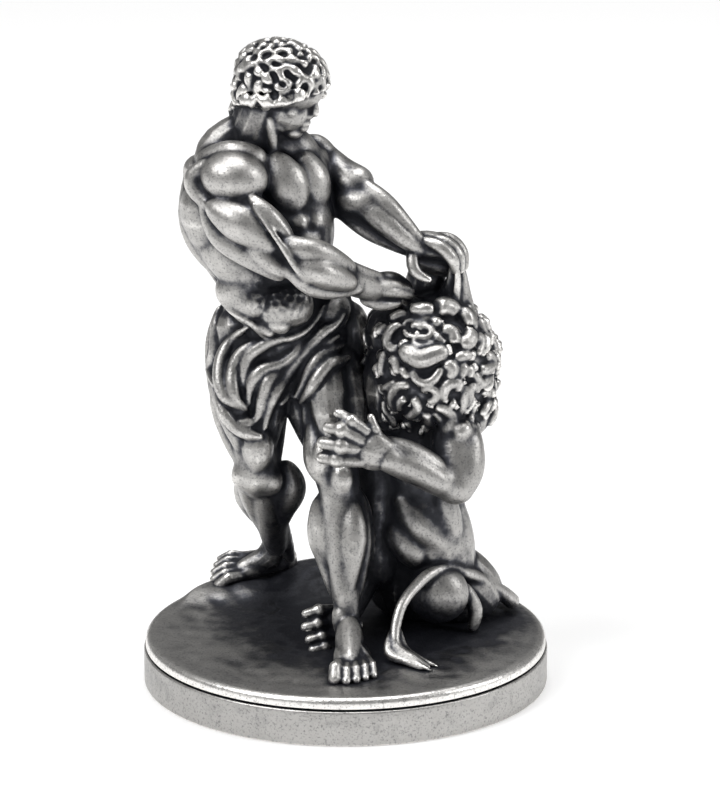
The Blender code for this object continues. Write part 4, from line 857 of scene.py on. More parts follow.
# Locks of the mane and the raised parts of the lion's face, as drawn in the front view, with their radii
LION_LOCKS = (
    (((6.2, 40.9), (6.1, 41.5), (6.7, 41.9), (7.4, 41.5), (8.0, 40.8)), 0.2),
    (((8.1, 41.0), (9.4, 41.0), (10.8, 41.0)), 0.45),
    (((8.1, 40.1), (9.8, 39.7), (11.3, 40.1)), 0.36),
    (((11.2, 41.3), (12.5, 41.0), (13.5, 40.1)), 0.8),
    (((13.9, 40.7), (14.8, 40.1), (15.1, 38.8)), 0.5),
    (((15.0, 41.5), (15.5, 39.8), (15.7, 38.3)), 0.26),
    (((10.6, 39.0), (11.5, 39.5)), 0.4),
    (((11.7, 38.4), (12.9, 38.1), (13.3, 36.6)), 0.5),
    (((13.8, 36.5), (15.0, 37.1), (15.1, 38.3)), 0.6),
    (
        (
            (7.1, 38.6), (7.5, 39.4), (8.6, 39.4), (9.8, 38.8), (10.6, 38.3), (10.1, 37.5),
            (9.0, 37.5), (7.7, 37.7), (7.1, 38.5),
        ),
        0.22,
    ),
    (((8.0, 38.8), (8.8, 38.9), (9.4, 38.4)), 0.2),
    (((8.1, 37.1), (8.6, 36.5), (9.5, 36.3), (11.0, 37.0)), 0.26),
    (((6.8, 39.1), (5.7, 38.6), (5.2, 37.6), (5.4, 36.6), (6.1, 36.1), (6.8, 36.4)), 0.36),
    (((5.5, 39.7), (6.7, 40.3), (7.8, 40.1)), 0.3),
    (((6.9, 36.3), (7.9, 35.5), (9.2, 34.9), (10.8, 35.4), (12.5, 35.9)), 0.75),
    (((11.0, 38.1), (11.3, 37.4), (12.2, 36.7)), 0.24),
    (((13.3, 34.8), (14.2, 35.2), (15.3, 35.4)), 0.38),
    (((8.3, 33.7), (8.6, 32.6), (9.6, 32.0), (10.6, 32.3), (11.3, 33.1), (11.7, 33.9)), 0.34),
    (((12.1, 33.7), (12.7, 34.1), (13.0, 33.4), (12.5, 32.5)), 0.46),
    (((13.7, 33.6), (14.3, 33.8), (13.9, 32.6)), 0.4),
    (((14.8, 34.0), (15.1, 33.5), (15.1, 32.6)), 0.32),
    (((15.6, 33.3), (16.3, 32.0), (17.1, 32.3), (17.8, 33.2)), 0.38),
    (((5.5, 34.4), (6.1, 34.8), (6.4, 33.9), (6.5, 33.0)), 0.38),
    (((7.0, 33.9), (7.4, 33.1), (7.9, 32.7)), 0.3),
    (((4.4, 31.2), (5.4, 31.6), (6.3, 32.2)), 0.28),
    (((7.9, 31.7), (6.6, 31.7), (5.9, 30.9), (5.8, 29.7), (6.3, 28.6)), 0.38),
    (((6.6, 28.7), (6.8, 29.8), (7.5, 30.1)), 0.3),
    (((8.4, 30.3), (8.8, 29.1), (8.3, 28.3), (7.5, 27.9)), 0.38),
    (((9.2, 31.2), (10.4, 31.4), (11.1, 30.8), (10.8, 30.0), (10.0, 29.7)), 0.32),
    (((12.0, 29.9), (12.0, 31.0), (12.6, 31.9), (13.7, 32.0), (13.5, 30.9)), 0.42),
    (((12.6, 29.7), (13.3, 29.3)), 0.35),
    (((13.8, 27.9), (14.3, 29.7), (14.7, 31.8)), 0.32),
    (((14.6, 28.9), (15.1, 30.3), (15.0, 31.2), (15.6, 31.6), (16.2, 30.9)), 0.32),
    (((10.9, 29.2), (12.1, 28.9), (12.9, 28.1), (12.8, 26.9), (11.8, 26.0)), 0.48),
    (((10.8, 28.6), (11.4, 27.9), (11.6, 27.0)), 0.28),
    (((9.4, 27.9), (9.9, 28.2), (10.1, 27.3), (10.6, 26.7)), 0.32),
    (((13.2, 25.8), (14.2, 26.1), (15.0, 26.8)), 0.55),
    (((15.4, 27.2), (15.1, 28.3), (15.9, 29.7)), 0.36),
    (((16.5, 27.9), (17.0, 29.1), (17.7, 30.0)), 0.36),
    (((17.3, 26.8), (18.0, 28.1), (18.6, 29.4)), 0.36),
    (((7.5, 27.4), (7.9, 26.7), (7.8, 25.9)), 0.32),
    (((16.1, 39.0), (17.1, 39.4), (18.0, 38.8), (17.8, 38.1)), 0.42),
    (((16.3, 38.3), (17.0, 37.7), (16.8, 37.2)), 0.42),
    (((17.7, 37.5), (18.6, 37.1), (19.1, 36.2), (18.7, 35.7)), 0.36),
    (((18.4, 35.1), (19.1, 34.6), (19.3, 33.6), (19.1, 32.7)), 0.36),
    (((18.9, 32.1), (19.2, 31.6), (18.8, 30.6)), 0.36),
    (((15.7, 37.0), (16.3, 37.5), (16.5, 36.6), (16.0, 35.4)), 0.36),
    (((17.0, 35.0), (17.5, 35.2), (17.8, 34.3), (17.0, 33.6), (16.3, 33.7)), 0.42),
    (((16.6, 31.0), (17.3, 30.6), (16.9, 29.8)), 0.3),
    (((18.0, 31.5), (18.4, 30.3)), 0.34),
    (((4.0, 34.9), (4.8, 35.4), (4.5, 34.1), (4.4, 32.8)), 0.3),
    (((4.8, 29.9), (5.0, 28.8), (5.7, 27.7), (5.9, 26.8)), 0.3),
    (((4.0, 37.9), (4.4, 38.5), (5.2, 38.9)), 0.25),
    (((9.0, 26.3), (9.7, 26.0)), 0.36),
)
LION = {
    "rump": vec(9.5, 4.0, 5.2),
    "back": vec(8.8, 3.2, 14.0),
    "chest": vec(9.8, 2.2, 21.0),
    "neck": vec(10.8, 1.6, 28.0),
    "mane": vec(10.4, 1.0, 34.0),
    "shoulder_near": vec(13.4, -3.2, 26.4),
    "elbow_near": vec(13.4, -6.2, 20.9),
    "wrist_near": vec(5.2, -9.4, 25.3),
    "shoulder_far": vec(8.5, 7.0, 25.0),
    "elbow_far": vec(7.0, 9.6, 21.5),
    "wrist_far": vec(2.4, 8.6, 27.0),
}


def toe(clay, root, knuckle, tip, radius, claw):
    root, knuckle, tip = Vector(root), Vector(knuckle), Vector(tip)
    clay.bone(root, knuckle, radius * 0.95, radius, sides=8)
    clay.ball(knuckle, (radius * 1.12, radius * 1.12, radius * 1.12), sides=10, rings=8)
    clay.bone(knuckle, tip, radius, radius * 0.8, sides=8)
    clay.lump([tip, tip + Vector(claw)], [radius * 0.6, radius * 0.3], sides=6, rings=6)


def lion_body(clay):
    clay.bone(LION["rump"], LION["back"], 5.8, 5.6, sides=48)
    clay.bone(LION["back"], LION["chest"], 5.6, 5.6, sides=48)
    clay.bone(LION["chest"], LION["neck"], 5.6, 5.4, sides=24)
    clay.ball(LION["rump"] + vec(0.2, 1.0, 0.0), (7.4, 7.0, 5.6), sides=24, rings=16)
    clay.ball(vec(14.0, 4.6, 2.8), (4.8, 5.0, 3.2), sides=28, rings=18)
    clay.ball(LION["chest"] + vec(0, 0, 1), (5.8, 6.0, 6.4), sides=24, rings=16)
    belly = [vec(4.6, 2.4, 26.0), vec(4.4, 1.6, 16.0), vec(4.2, 1.2, 6.0)]
    clay.lump(belly, [3.4, 3.8, 3.6], fullness=0.2, sides=24, rings=24)
    clay.forms(LION_FLANK)
    # Hind leg on the near side, folded under
    clay.ball(vec(11.4, -2.9, 5.8), (3.8, 3.1, 3.7), sides=32, rings=24)
    shank = [vec(14.6, -2.0, 6.8), vec(16.0, -1.8, 3.4), vec(15.6, -2.2, 0.6)]
    clay.lump(shank, [0.8, 0.95, 0.8], fullness=0.4)
    # Hind leg on the far side, stretched past the man's shin
    clay.bone(LION["rump"] + vec(-2.5, 0.5, 2.0), vec(3.0, 2.0, 8.5), 4.4, 3.0)
    clay.bone(vec(3.0, 2.0, 8.5), vec(0.2, -3.0, 3.2), 2.8, 1.7)
    clay.lump([vec(0.6, -3.0, 3.0), vec(-2.6, -6.0, 3.0)], [2.0, 2.0], fullness=0.5)
    for tip in (vec(-5.4, -6.4, 4.4), vec(-5.5, -7.0, 2.9), vec(-5.0, -7.4, 1.4), vec(-4.6, -7.8, 0.2)):
        toe(
            clay,
            tip + vec(4.2, 1.6, 0.0),
            tip + vec(2.1, 0.2, 0.35),
            tip + vec(0.6, 0, 0),
            0.78,
            vec(-0.6, 0, -0.4),
        )


def lion_forelegs(clay):
    for near in ("near", "far"):
        shoulder, elbow, wrist = LION[f"shoulder_{near}"], LION[f"elbow_{near}"], LION[f"wrist_{near}"]
        clay.bone(shoulder, elbow, 3.0, 2.4, sides=24)
        clay.lump([shoulder + vec(0, 0, 1.5), elbow], [2.4, 1.9], fullness=0.6)
        clay.bone(elbow, wrist, 2.35, 1.7, sides=24)
        clay.lump([elbow + vec(-0.5, 0, 0.3), mix(elbow, wrist, 0.4), wrist], [1.7, 2.0, 1.4], fullness=0.6)
    # Near paw, which grips the man's thigh
    wrist = LION["wrist_near"]
    clay.lump(
        [wrist + vec(1.0, 0, 0), wrist + vec(-1.6, -0.2, 0.9), wrist + vec(-3.6, -0.2, 1.9)],
        [1.8, 2.5, 2.5],
        flat=0.62,
        fullness=0.45,
    )
    toes = (
        ((2.4, -9.8, 28.9), (0.7, -10.0, 30.2), (-0.8, -9.2, 31.0), 0.84),
        ((1.8, -10.0, 27.9), (-0.4, -10.3, 29.2), (-2.0, -9.4, 29.2), 1.0),
        ((1.2, -10.1, 26.9), (-0.5, -10.5, 27.2), (-2.7, -9.6, 27.3), 1.02),
        ((2.0, -10.0, 25.2), (-1.0, -10.4, 25.5), (-2.8, -9.6, 25.4), 0.98),
    )
    for root, knuckle, tip, radius in toes:
        toe(clay, root, knuckle, tip, radius, vec(-0.6, 0.5, -0.1))
    toe(
        clay,
        wrist + vec(-0.6, 0.0, 2.0),
        vec(3.6, -9.6, 29.0),
        vec(3.1, -9.2, 30.4),
        0.62,
        vec(-0.3, 0.2, 0.4),
    )
    # Far paw, at the back of the man's thigh
    wrist = LION["wrist_far"]
    for rise in (-1.6, -0.5, 0.6, 1.7):
        toe(
            clay,
            wrist + vec(-0.5, -0.4, 0.9 + rise),
            wrist + vec(-2.2, -0.8, 1.4 + rise),
            wrist + vec(-3.4, -1.8, 1.4 + rise),
            0.75,
            vec(-0.3, -0.4, 0),
        )


def lion_head(clay):
    clay.ball(vec(11.4, 1.2, 38.4), (4.6, 4.2, 4.6))
    # Upper jaw, pulled up by its tip
    jaw = [vec(13.6, 1.2, 39.6), vec(13.4, 1.2, 42.4), vec(13.6, 0.9, 45.0), vec(13.5, 0.6, 47.2)]
    clay.lump(jaw, [3.2, 2.2, 1.4, 1.2], fullness=0.4)
    for across, forward in ((-1.5, 0.4), (0.0, -0.6), (1.3, 0.2)):
        ridge = [p + vec(across * (1 - 0.22 * i), -1.4 + forward + 0.2 * i, 0) for i, p in enumerate(jaw)]
        clay.lump(ridge, [0.8, 0.6, 0.5, 0.5], fullness=0.4, sides=8)
    # Lower jaw, pulled down to the left
    clay.lump(
        [vec(10.6, 0.4, 39.6), vec(8.4, 0.4, 41.2), vec(7.6, 0.4, 43.0)], [3.0, 2.1, 1.3], fullness=0.5
    )
    # Lip, floor and far wall of the mouth
    clay.lump(
        [vec(7.8, -1.6, 42.4), vec(10.0, -2.2, 41.8), vec(12.2, -1.6, 42.6)], [0.6, 0.7, 0.6], fullness=0.4
    )
    clay.lump(
        [vec(9.0, 3.2, 41.0), vec(10.0, 3.0, 45.0), vec(11.4, 2.2, 48.6)],
        [2.6, 2.4, 1.4],
        flat=0.6,
        fullness=0.5,
    )
    # Cheeks and brow
    for side in (-1, 1):
        clay.ball(vec(11.6, 1.2 + side * 2.8, 39.6), (2.4, 1.4, 1.8))
        clay.ball(vec(14.4, 1.2 + side * 1.6, 39.6), (1.8, 1.6, 2.2))


def mane(clay):
    clay.ball(LION["mane"], (7.8, 7.7, 8.1), sides=40, rings=28)
    clay.ball(vec(6.0, 0.6, 38.4), (3.6, 4.2, 3.6))
    clay.ball(vec(14.2, 1.6, 28.8), (4.0, 5.2, 4.6))
    clay.ball(vec(5.4, 0.8, 31.4), (3.6, 4.6, 6.0))
    clay.lump([vec(13.0, 3.0, 26.0), vec(12.6, 3.4, 18.0)], [3.8, 2.6], fullness=0.5)
    body = clay.surface()
    for line, radius in LION_LOCKS:
        clay.lump(drawn(body, line, 0.1), radius * 1.7 + 0.12, fullness=0.3, sides=10, rings=20)


def carve_lion(made):
    """Hide drawn over the muscles, and locks at the mane's sides and back."""
    points, _ = figure_points(made)
    x, y, z = points.T
    trunk = band(z, 9.5, 12.0, 22.0, 24.0) * smooth_step(x, 4.0, 6.0)
    foreleg = band(z, 17.0, 18.0, 28.0, 29.5) * smooth_step(-y, 4.2, 5.0) * smooth_step(x, 4.6, 6.0)
    rear = band(x, 3.0, 5.0, 15.0, 16.5) * smooth_step(y, 1.0, 3.0) * (1 - smooth_step(z, 22.0, 24.0))
    soften(made, np.maximum(trunk + foreleg, rear), 18, 0.08)
    points, normals = figure_points(made)
    x, y, z = points.T
    centre = np.array(LION["mane"])
    reach = np.sqrt((((points - centre) / np.array([9.0, 9.0, 9.6])) ** 2).sum(1))
    grown = 1 - smooth_step(reach, 0.98, 1.12)
    grown *= 1 - smooth_step(z, 40.2, 41.6)
    grown *= 1 - smooth_step(normals @ np.array(FRONT_BACK), 0.05, 0.35)
    value = curls(points * np.array([1.0, 1.0, 0.75]), width=2.1, seed=12)
    lock = ridged(value) - 0.35 * smooth_step(value, 0.75, 1.3)
    shift(made, grown * (0.75 * lock - 0.1))


def tail(clay):
    path = [
        vec(15.0, 9.0, 4.0), vec(19.0, 9.0, 2.2), vec(20.8, 6.5, 1.6), vec(19.3, 4.0, 3.6),
        vec(16.6, 1.6, 6.2), vec(14.6, -0.6, 7.8), vec(12.5, -2.6, 9.0), vec(10.2, -4.8, 8.9),
        vec(8.2, -7.0, 7.7), vec(6.8, -9.0, 6.2), vec(6.1, -10.6, 4.0), vec(6.0, -12.0, 2.2),
    ]
    clay.lump(
        path,
        [1.2, 1.2, 1.1, 1.0, 0.9, 0.85, 0.8, 0.8, 0.75, 0.75, 0.8, 0.9],
        fullness=0.15,
        sides=10,
        rings=50,
    )
    tuft = ((0.0, 0.0, 1.15), (-0.9, -0.5, 0.7), (0.9, 0.5, 0.7), (0.2, -0.8, 0.6), (0.5, 1.0, 0.6))
    for across, forward, radius in tuft:
        clay.lump(
            [
                vec(6.1 + across * 0.5, -10.2 + forward * 0.5, 3.8),
                vec(6.2 + across, -12.0 + forward, 1.6),
                vec(8.2 + across * 0.8, -13.6 + forward, 0.9),
                vec(10.4 + across * 1.1, -14.8 + forward * 1.2, 0.3),
            ],
            [radius * 0.7, radius, radius * 0.75, radius * 0.35],
            fullness=0.3,
            sides=10,
            rings=20,
        )


def lion(clay):
    lion_body(clay)
    lion_forelegs(clay)
    lion_head(clay)
    mane(clay)
    tail(clay)


def ground_height(x, y):
    """How high the rough ground rises over the disc, in millimetres."""
    # Pad under the man's right foot, from its toes to its heel
    along_foot = np.clip(((x + 17.7) * 11.0 + (y - 15.6) * 4.4) / 140.4, 0, 1)
    from_foot = np.hypot(x + 17.7 - along_foot * 11.0, y - 15.6 - along_foot * 4.4)
    rise = 1.45 * np.exp(-((from_foot / 6.0) ** 4))
    # Mounds behind its heel and under both figures: middle, half widths and height
    for across, back, wide, deep, height in ((-2.5, 18.0, 8.5, 6.5, 3.1), (6.0, 2.0, 13.0, 12.0, 1.1)):
        mound = height * np.exp(-(((x - across) / wide) ** 2) - ((y - back) / deep) ** 2)
        rise = np.maximum(rise, mound)
    points = np.stack([x, y, np.zeros(len(x))], axis=1)
    rough = 0.07 * curls(points, width=9.0, seed=21) + 0.03 * curls(points, width=2.6, seed=22)
    from_edge = PLINTH_RADIUS - GROUND_SETBACK - np.hypot(x, y)
    return rise * smooth_step(from_edge, 0.3, 2.2) + rough * smooth_step(from_edge, 1.5, 6.0)


# Working the clay: one skin from many lumps, then its carving

def activate(made):
    bpy.ops.object.select_all(action="DESELECT")
    made.select_set(True)
    bpy.context.view_layer.objects.active = made


def apply_all(made):
    activate(made)
    for modifier in list(made.modifiers):
        bpy.ops.object.modifier_apply(modifier=modifier.name)


def largest_body(made):
    """Keeps the biggest connected body and drops any hollow that was closed inside it."""
    mesh = made.data
    edges = np.empty(len(mesh.edges) * 2, dtype=np.int64)
    mesh.edges.foreach_get("vertices", edges)
    a, b = edges[0::2], edges[1::2]
    label = np.arange(len(mesh.vertices))
    while True:
        low = label.copy()
        np.minimum.at(low, a, label[b])
        np.minimum.at(low, b, label[a])
        low = low[low]
        if np.array_equal(low, label):
            break
        label = low
    names, sizes = np.unique(label, return_counts=True)
    if len(names) == 1:
        return
    doomed = label != names[np.argmax(sizes)]
    mesh.vertices.foreach_set("select", doomed)
    activate(made)
    bpy.ops.object.mode_set(mode="EDIT")
    bpy.ops.mesh.select_mode(type="VERT")
    bpy.ops.object.mode_set(mode="OBJECT")
    mesh.vertices.foreach_set("select", doomed)
    bpy.ops.object.mode_set(mode="EDIT")
    bpy.ops.mesh.delete(type="VERT")
    bpy.ops.object.mode_set(mode="OBJECT")


def figure_points(made):
    """The skin's points in the figures' own millimetres, and its normals."""
    points, normals, _ = read_mesh(made)
    return points / MM - np.array([0, 0, GROUND_TOP]), normals


def front_view(points):
    """Where points show in the front view, right and up."""
    rays = points - np.array(FRONT_EYE)
    away = rays @ -np.array(FRONT_BACK)
    on_plane = rays * (FRONT_DISTANCE / away)[:, None] + np.array(FRONT_EYE)
    return on_plane[:, 0], (on_plane - np.array(FRONT_AIM)) @ np.array(FRONT_UP) + FRONT_AIM.z


def smooth_step(value, low, high):
    share = np.clip((value - low) / (high - low), 0, 1)
    return share * share * (3 - 2 * share)


def band(value, start, full, fade, end):
    """1 from full to fade, and 0 before start and after end."""
    return smooth_step(value, start, full) * (1 - smooth_step(value, fade, end))


def curls(points, width, seed, waves=36):
    """Winding ridges, each about half of width across, from waves that cross in every direction."""
    rng = np.random.default_rng(seed)
    total = np.zeros(len(points))
    for _ in range(waves):
        direction = rng.normal(size=3)
        direction /= np.linalg.norm(direction)
        total += np.cos(points @ (direction * (2 * math.pi / width)) + rng.uniform(0, 2 * math.pi))
    return total * math.sqrt(2 / waves)


def ridged(value):
    """Round-topped ridges with narrow grooves between them."""
    rise = np.clip((value + 0.6) / 2.0, 0, 1)
    return 1 - (1 - rise) ** 2


def shift(made, amounts):
    """Moves each point of the skin along its normal, in millimetres."""
    points, normals, _ = read_mesh(made)
    moved = points + normals * (amounts * MM)[:, None]
    made.data.vertices.foreach_set("co", moved.ravel())
    made.data.update()


def soften(made, share, times, swell):
    """Rounds the skin over where share is 1, and swells it by what the rounding takes away."""
    points, normals, edges = read_mesh(made)
    calm = neighbour_mean(points, edges, times, len(points))
    share = np.clip(share, 0, 1)[:, None]
    points = points + (calm - points) * share + normals * share * swell * MM
    made.data.vertices.foreach_set("co", points.ravel())
    made.data.update()


def fused(name, clay, carve):
    """The lumps melted into one skin, carved, and thinned where it is flat."""
    floor = GROUND_TOP - GROUND_THICKNESS / 2
    points = np.concatenate(clay.points) + np.array([0, 0, GROUND_TOP])
    points[:, 2] = np.maximum(points[:, 2], floor)
    mesh = bpy.data.meshes.new(name)
    mesh.from_pydata((points * MM).tolist(), [], clay.faces)
    made = bpy.data.objects.new(name, mesh)
    bpy.context.scene.collection.objects.link(made)
    fuse = made.modifiers.new("fuse", "REMESH")
    fuse.mode = "VOXEL"
    fuse.voxel_size = VOXEL * MM
    relax = made.modifiers.new("relax", "SMOOTH")
    relax.factor = 0.5
    relax.iterations = 2
    apply_all(made)
    largest_body(made)
    carve(made)
    thin = made.modifiers.new("thin", "DECIMATE")
    thin.ratio = min(1.0, FIGURE_FACES / (2 * len(made.data.polygons)))
    apply_all(made)
    made.data.shade_smooth()
    return made


def turned(name, outline, steps=128):
    """A solid of revolution, spun round the axis from an outline of radius and height in millimetres."""
    mesh = bpy.data.meshes.new(name)
    edges = [(i, i + 1) for i in range(len(outline) - 1)]
    mesh.from_pydata([(r * MM, 0, z * MM) for r, z in outline], edges, [])
    made = bpy.data.objects.new(name, mesh)
    bpy.context.scene.collection.objects.link(made)
    activate(made)
    bpy.ops.object.mode_set(mode="EDIT")
    bpy.ops.mesh.select_all(action="SELECT")
    bpy.ops.mesh.spin(steps=steps, angle=2 * math.pi, center=(0, 0, 0), axis=(0, 0, 1), dupli=False)
    bpy.ops.mesh.select_all(action="SELECT")
    bpy.ops.mesh.remove_doubles(threshold=0.000005)
    bpy.ops.mesh.normals_make_consistent(inside=False)
    bpy.ops.object.mode_set(mode="OBJECT")
    return made


# How the metal has aged, and where shade is painted on it

def read_mesh(made):
    mesh = made.data
    points = np.empty(len(mesh.vertices) * 3)
    mesh.vertices.foreach_get("co", points)
    normals = np.empty(len(mesh.vertices) * 3)
    mesh.vertex_normals.foreach_get("vector", normals)
    edges = np.empty(len(mesh.edges) * 2, dtype=np.int64)
    mesh.edges.foreach_get("vertices", edges)
    return points.reshape(-1, 3), normals.reshape(-1, 3), edges.reshape(-1, 2)


def neighbour_mean(values, edges, times, count):
    """Each value averaged with its neighbours' a number of times."""
    a, b = edges[:, 0], edges[:, 1]
    share = np.bincount(a, minlength=count) + np.bincount(b, minlength=count)
    share = np.maximum(share, 1)
    flat = values.reshape(count, -1)
    for _ in range(times):
        total = np.empty_like(flat)
        for k in range(flat.shape[1]):
            total[:, k] = np.bincount(a, flat[b, k], count) + np.bincount(b, flat[a, k], count)
        flat = flat * 0.5 + total / share[:, None] * 0.5
    return flat.reshape(values.shape)


def sky_directions(count):
    """Even directions over the half sphere round +Z, more of them near the axis."""
    golden = math.pi * (3 - math.sqrt(5))
    made = []
    for i in range(count):
        up = math.sqrt(1 - (i + 0.5) / count * 0.96)
        ring = math.sqrt(1 - up * up)
        made.append((ring * math.cos(i * golden), ring * math.sin(i * golden), up))
    return made


def shelter_of(points, normals, trees, reach, count):
    """The share of directions over each point that the statue closes off within reach."""
    sky = sky_directions(count)
    blocked = np.zeros(len(points))
    for i in range(len(points)):
        normal = Vector(normals[i])
        start = Vector(points[i]) + normal * 0.00012
        turn = Vector((0, 0, 1)).rotation_difference(normal).to_matrix()
        hit = 0
        for direction in sky:
            ray = turn @ Vector(direction)
            for tree in trees:
                if tree.ray_cast(start, ray, reach)[0] is not None:
                    hit += 1
                    break
        blocked[i] = hit / count
    return blocked


def paint_attribute(made, name, values):
    attribute = made.data.attributes.new(name, "FLOAT", "POINT")
    attribute.data.foreach_set("value", values.astype(np.float32))


def tree_of(made):
    return BVHTree.FromObject(made, bpy.context.evaluated_depsgraph_get())


def age_and_shade(pieces):
    """Writes where dark oxide lodges, where hands have rubbed the metal bright, and painted shade where
    nearby parts close a point off.
    """
    trees = [tree_of(p) for p in pieces]
    for made in pieces:
        points, normals, edges = read_mesh(made)
        n = len(points)
        spacing = np.linalg.norm(points[edges[:, 0]] - points[edges[:, 1]], axis=1).mean()
        fine = neighbour_mean(points, edges, 3, n)
        broad = neighbour_mean(fine, edges, 22, n)
        fine_depth = np.einsum("ij,ij->i", fine - points, normals) / spacing
        broad_depth = np.einsum("ij,ij->i", broad - fine, normals) / spacing
        # How far nearby parts close each point off: painted shade as well as oxide
        oxide_and_shade_occlusion = shelter_of(points, normals, trees, SHELTER_REACH * MM, SHELTER_RAYS)
        oxide_and_shade_occlusion = neighbour_mean(oxide_and_shade_occlusion, edges, 4, n)
        paint_attribute(made, "fine_depth", fine_depth)
        paint_attribute(made, "broad_depth", broad_depth)
        paint_attribute(made, "oxide_and_shade_occlusion", oxide_and_shade_occlusion)


# Old pewter

class Nodes:
    """Short ways to place and join the nodes of one material."""

    def __init__(self, name):
        self.material = bpy.data.materials.new(name)
        self.material.use_nodes = True
        self.tree = self.material.node_tree
        self.shader = self.tree.nodes["Principled BSDF"]

    def put(self, socket, value):
        if isinstance(value, bpy.types.NodeSocket):
            self.tree.links.new(value, socket)
        else:
            socket.default_value = value

    def place(self):
        return self.tree.nodes.new("ShaderNodeTexCoord").outputs["Object"]

    def attribute(self, name):
        node = self.tree.nodes.new("ShaderNodeAttribute")
        node.attribute_name = name
        return node.outputs["Fac"]

    def noise(self, place, scale, detail, roughness=0.5):
        node = self.tree.nodes.new("ShaderNodeTexNoise")
        self.put(node.inputs["Vector"], place)
        node.inputs["Scale"].default_value = scale
        node.inputs["Detail"].default_value = detail
        node.inputs["Roughness"].default_value = roughness
        return node.outputs["Fac"]

    def math(self, operation, a, b):
        node = self.tree.nodes.new("ShaderNodeMath")
        node.operation = operation
        self.put(node.inputs[0], a)
        self.put(node.inputs[1], b)
        return node.outputs[0]

    def plus(self, value, change, weight):
        """The value with a share of another added."""
        return self.math("ADD", value, self.math("MULTIPLY", change, weight))

    def swing(self, value, noise, weight):
        """The value pushed up and down by a noise round its middle."""
        return self.plus(value, self.math("SUBTRACT", noise, 0.5), weight)

    def distance(self, place, middle):
        node = self.tree.nodes.new("ShaderNodeVectorMath")
        node.operation = "DISTANCE"
        self.put(node.inputs[0], place)
        self.put(node.inputs[1], middle)
        return node.outputs["Value"]

    def span(self, value, low, high, out_low=0.0, out_high=1.0):
        """The value's place between low and high, smoothed, and spread from out_low to out_high."""
        node = self.tree.nodes.new("ShaderNodeMapRange")
        node.interpolation_type = "SMOOTHSTEP"
        for socket, number in zip(node.inputs, (value, low, high, out_low, out_high)):
            self.put(socket, number)
        return node.outputs["Result"]

    def blend(self, share, a, b):
        node = self.tree.nodes.new("ShaderNodeMix")
        node.data_type = "RGBA"
        self.put(node.inputs[0], share)
        self.put(node.inputs[6], a)
        self.put(node.inputs[7], b)
        return node.outputs[2]

    def bump(self, height, distance, strength):
        node = self.tree.nodes.new("ShaderNodeBump")
        node.inputs["Strength"].default_value = strength
        node.inputs["Distance"].default_value = distance
        self.put(node.inputs["Height"], height)
        return node.outputs["Normal"]


# The metal as cast, where it is rubbed, where it is dull with oxide and painted shade, and the black of oxide
# and painted shade
METAL = (0.48, 0.47, 0.455, 1)
WORN = (0.93, 0.91, 0.88, 1)
DULL = (0.070, 0.072, 0.083, 1)
OXIDE_AND_SHADE = (0.005, 0.006, 0.011, 1)


def old_pewter(name, tarnish=0.0, darker_round_figures=False):
    """Cast pewter, blackened and rubbed back: oxide in the hollows, bright metal where hands reach, and
    painted shade where nearby parts close the metal off.
    """
    n = Nodes(name)
    place = n.place()
    fine, broad, oxide_and_shade_occlusion = n.attribute("fine_depth"), n.attribute("broad_depth"), n.attribute("oxide_and_shade_occlusion")
    clouds = n.noise(place, 190, 4, 0.6)
    mottle = n.noise(place, 900, 3, 0.6)
    speck = n.noise(place, 3600, 2, 0.6)
    hollow = n.plus(n.math("MULTIPLY", fine, 2.8), broad, 0.9)
    # Oxide in the hollows, plus painted shade where nearby parts close a point off
    oxide_and_shade = n.plus(hollow, oxide_and_shade_occlusion, 1.5)
    oxide_and_shade = n.swing(n.swing(oxide_and_shade, clouds, 0.9), mottle, 0.5)
    oxide_and_shade = n.math("ADD", oxide_and_shade, tarnish)
    # On the ground: darker round the figures' feet and lighter towards the rim
    if darker_round_figures:
        from_figures = n.distance(place, (0.003, 0.003, GROUND_TOP * MM))
        oxide_and_shade = n.math("ADD", oxide_and_shade, n.span(from_figures, 0.009, 0.024, 0.42, -0.12))
    # Black where oxide and painted shade are deepest
    black = n.span(oxide_and_shade, 0.30, 0.85)
    rubbed = n.span(n.math("MULTIPLY", hollow, -1.0), 0.35, 1.2)
    # Dull where oxide and painted shade gather
    colour = n.blend(n.span(oxide_and_shade, -0.32, 0.5), METAL, DULL)
    colour = n.blend(rubbed, colour, WORN)
    colour = n.blend(n.span(speck, 0.50, 0.72, 0.0, 0.5), colour, DULL)
    colour = n.blend(black, colour, OXIDE_AND_SHADE)
    n.put(n.shader.inputs["Base Color"], colour)
    n.put(n.shader.inputs["Metallic"], n.span(black, 0.0, 1.0, 1.0, 0.25))
    rough = n.swing(n.span(rubbed, 0, 1, 0.43, 0.33), mottle, 0.35)
    n.put(n.shader.inputs["Roughness"], n.plus(rough, black, 0.22))
    grain = n.plus(speck, mottle, 0.7)
    n.put(n.shader.inputs["Normal"], n.bump(grain, 0.00006, 0.6))
    return n.material


def plain_floor():
    bpy.ops.mesh.primitive_circle_add(vertices=96, radius=3, fill_type="NGON", location=(0, 0, 0))
    floor = bpy.context.object
    floor.name = "floor"
    n = Nodes("white_table")
    shade = n.noise(n.place(), 3.0, 2)
    n.put(n.shader.inputs["Base Color"], n.blend(shade, (0.90, 0.90, 0.90, 1), (0.93, 0.93, 0.93, 1)))
    n.shader.inputs["Roughness"].default_value = 0.9
    n.shader.inputs["Emission Color"].default_value = (1, 1, 1, 1)
    n.shader.inputs["Emission Strength"].default_value = 0.2
    n.shader.inputs["Specular IOR Level"].default_value = 0.1
    floor.data.materials.append(n.material)


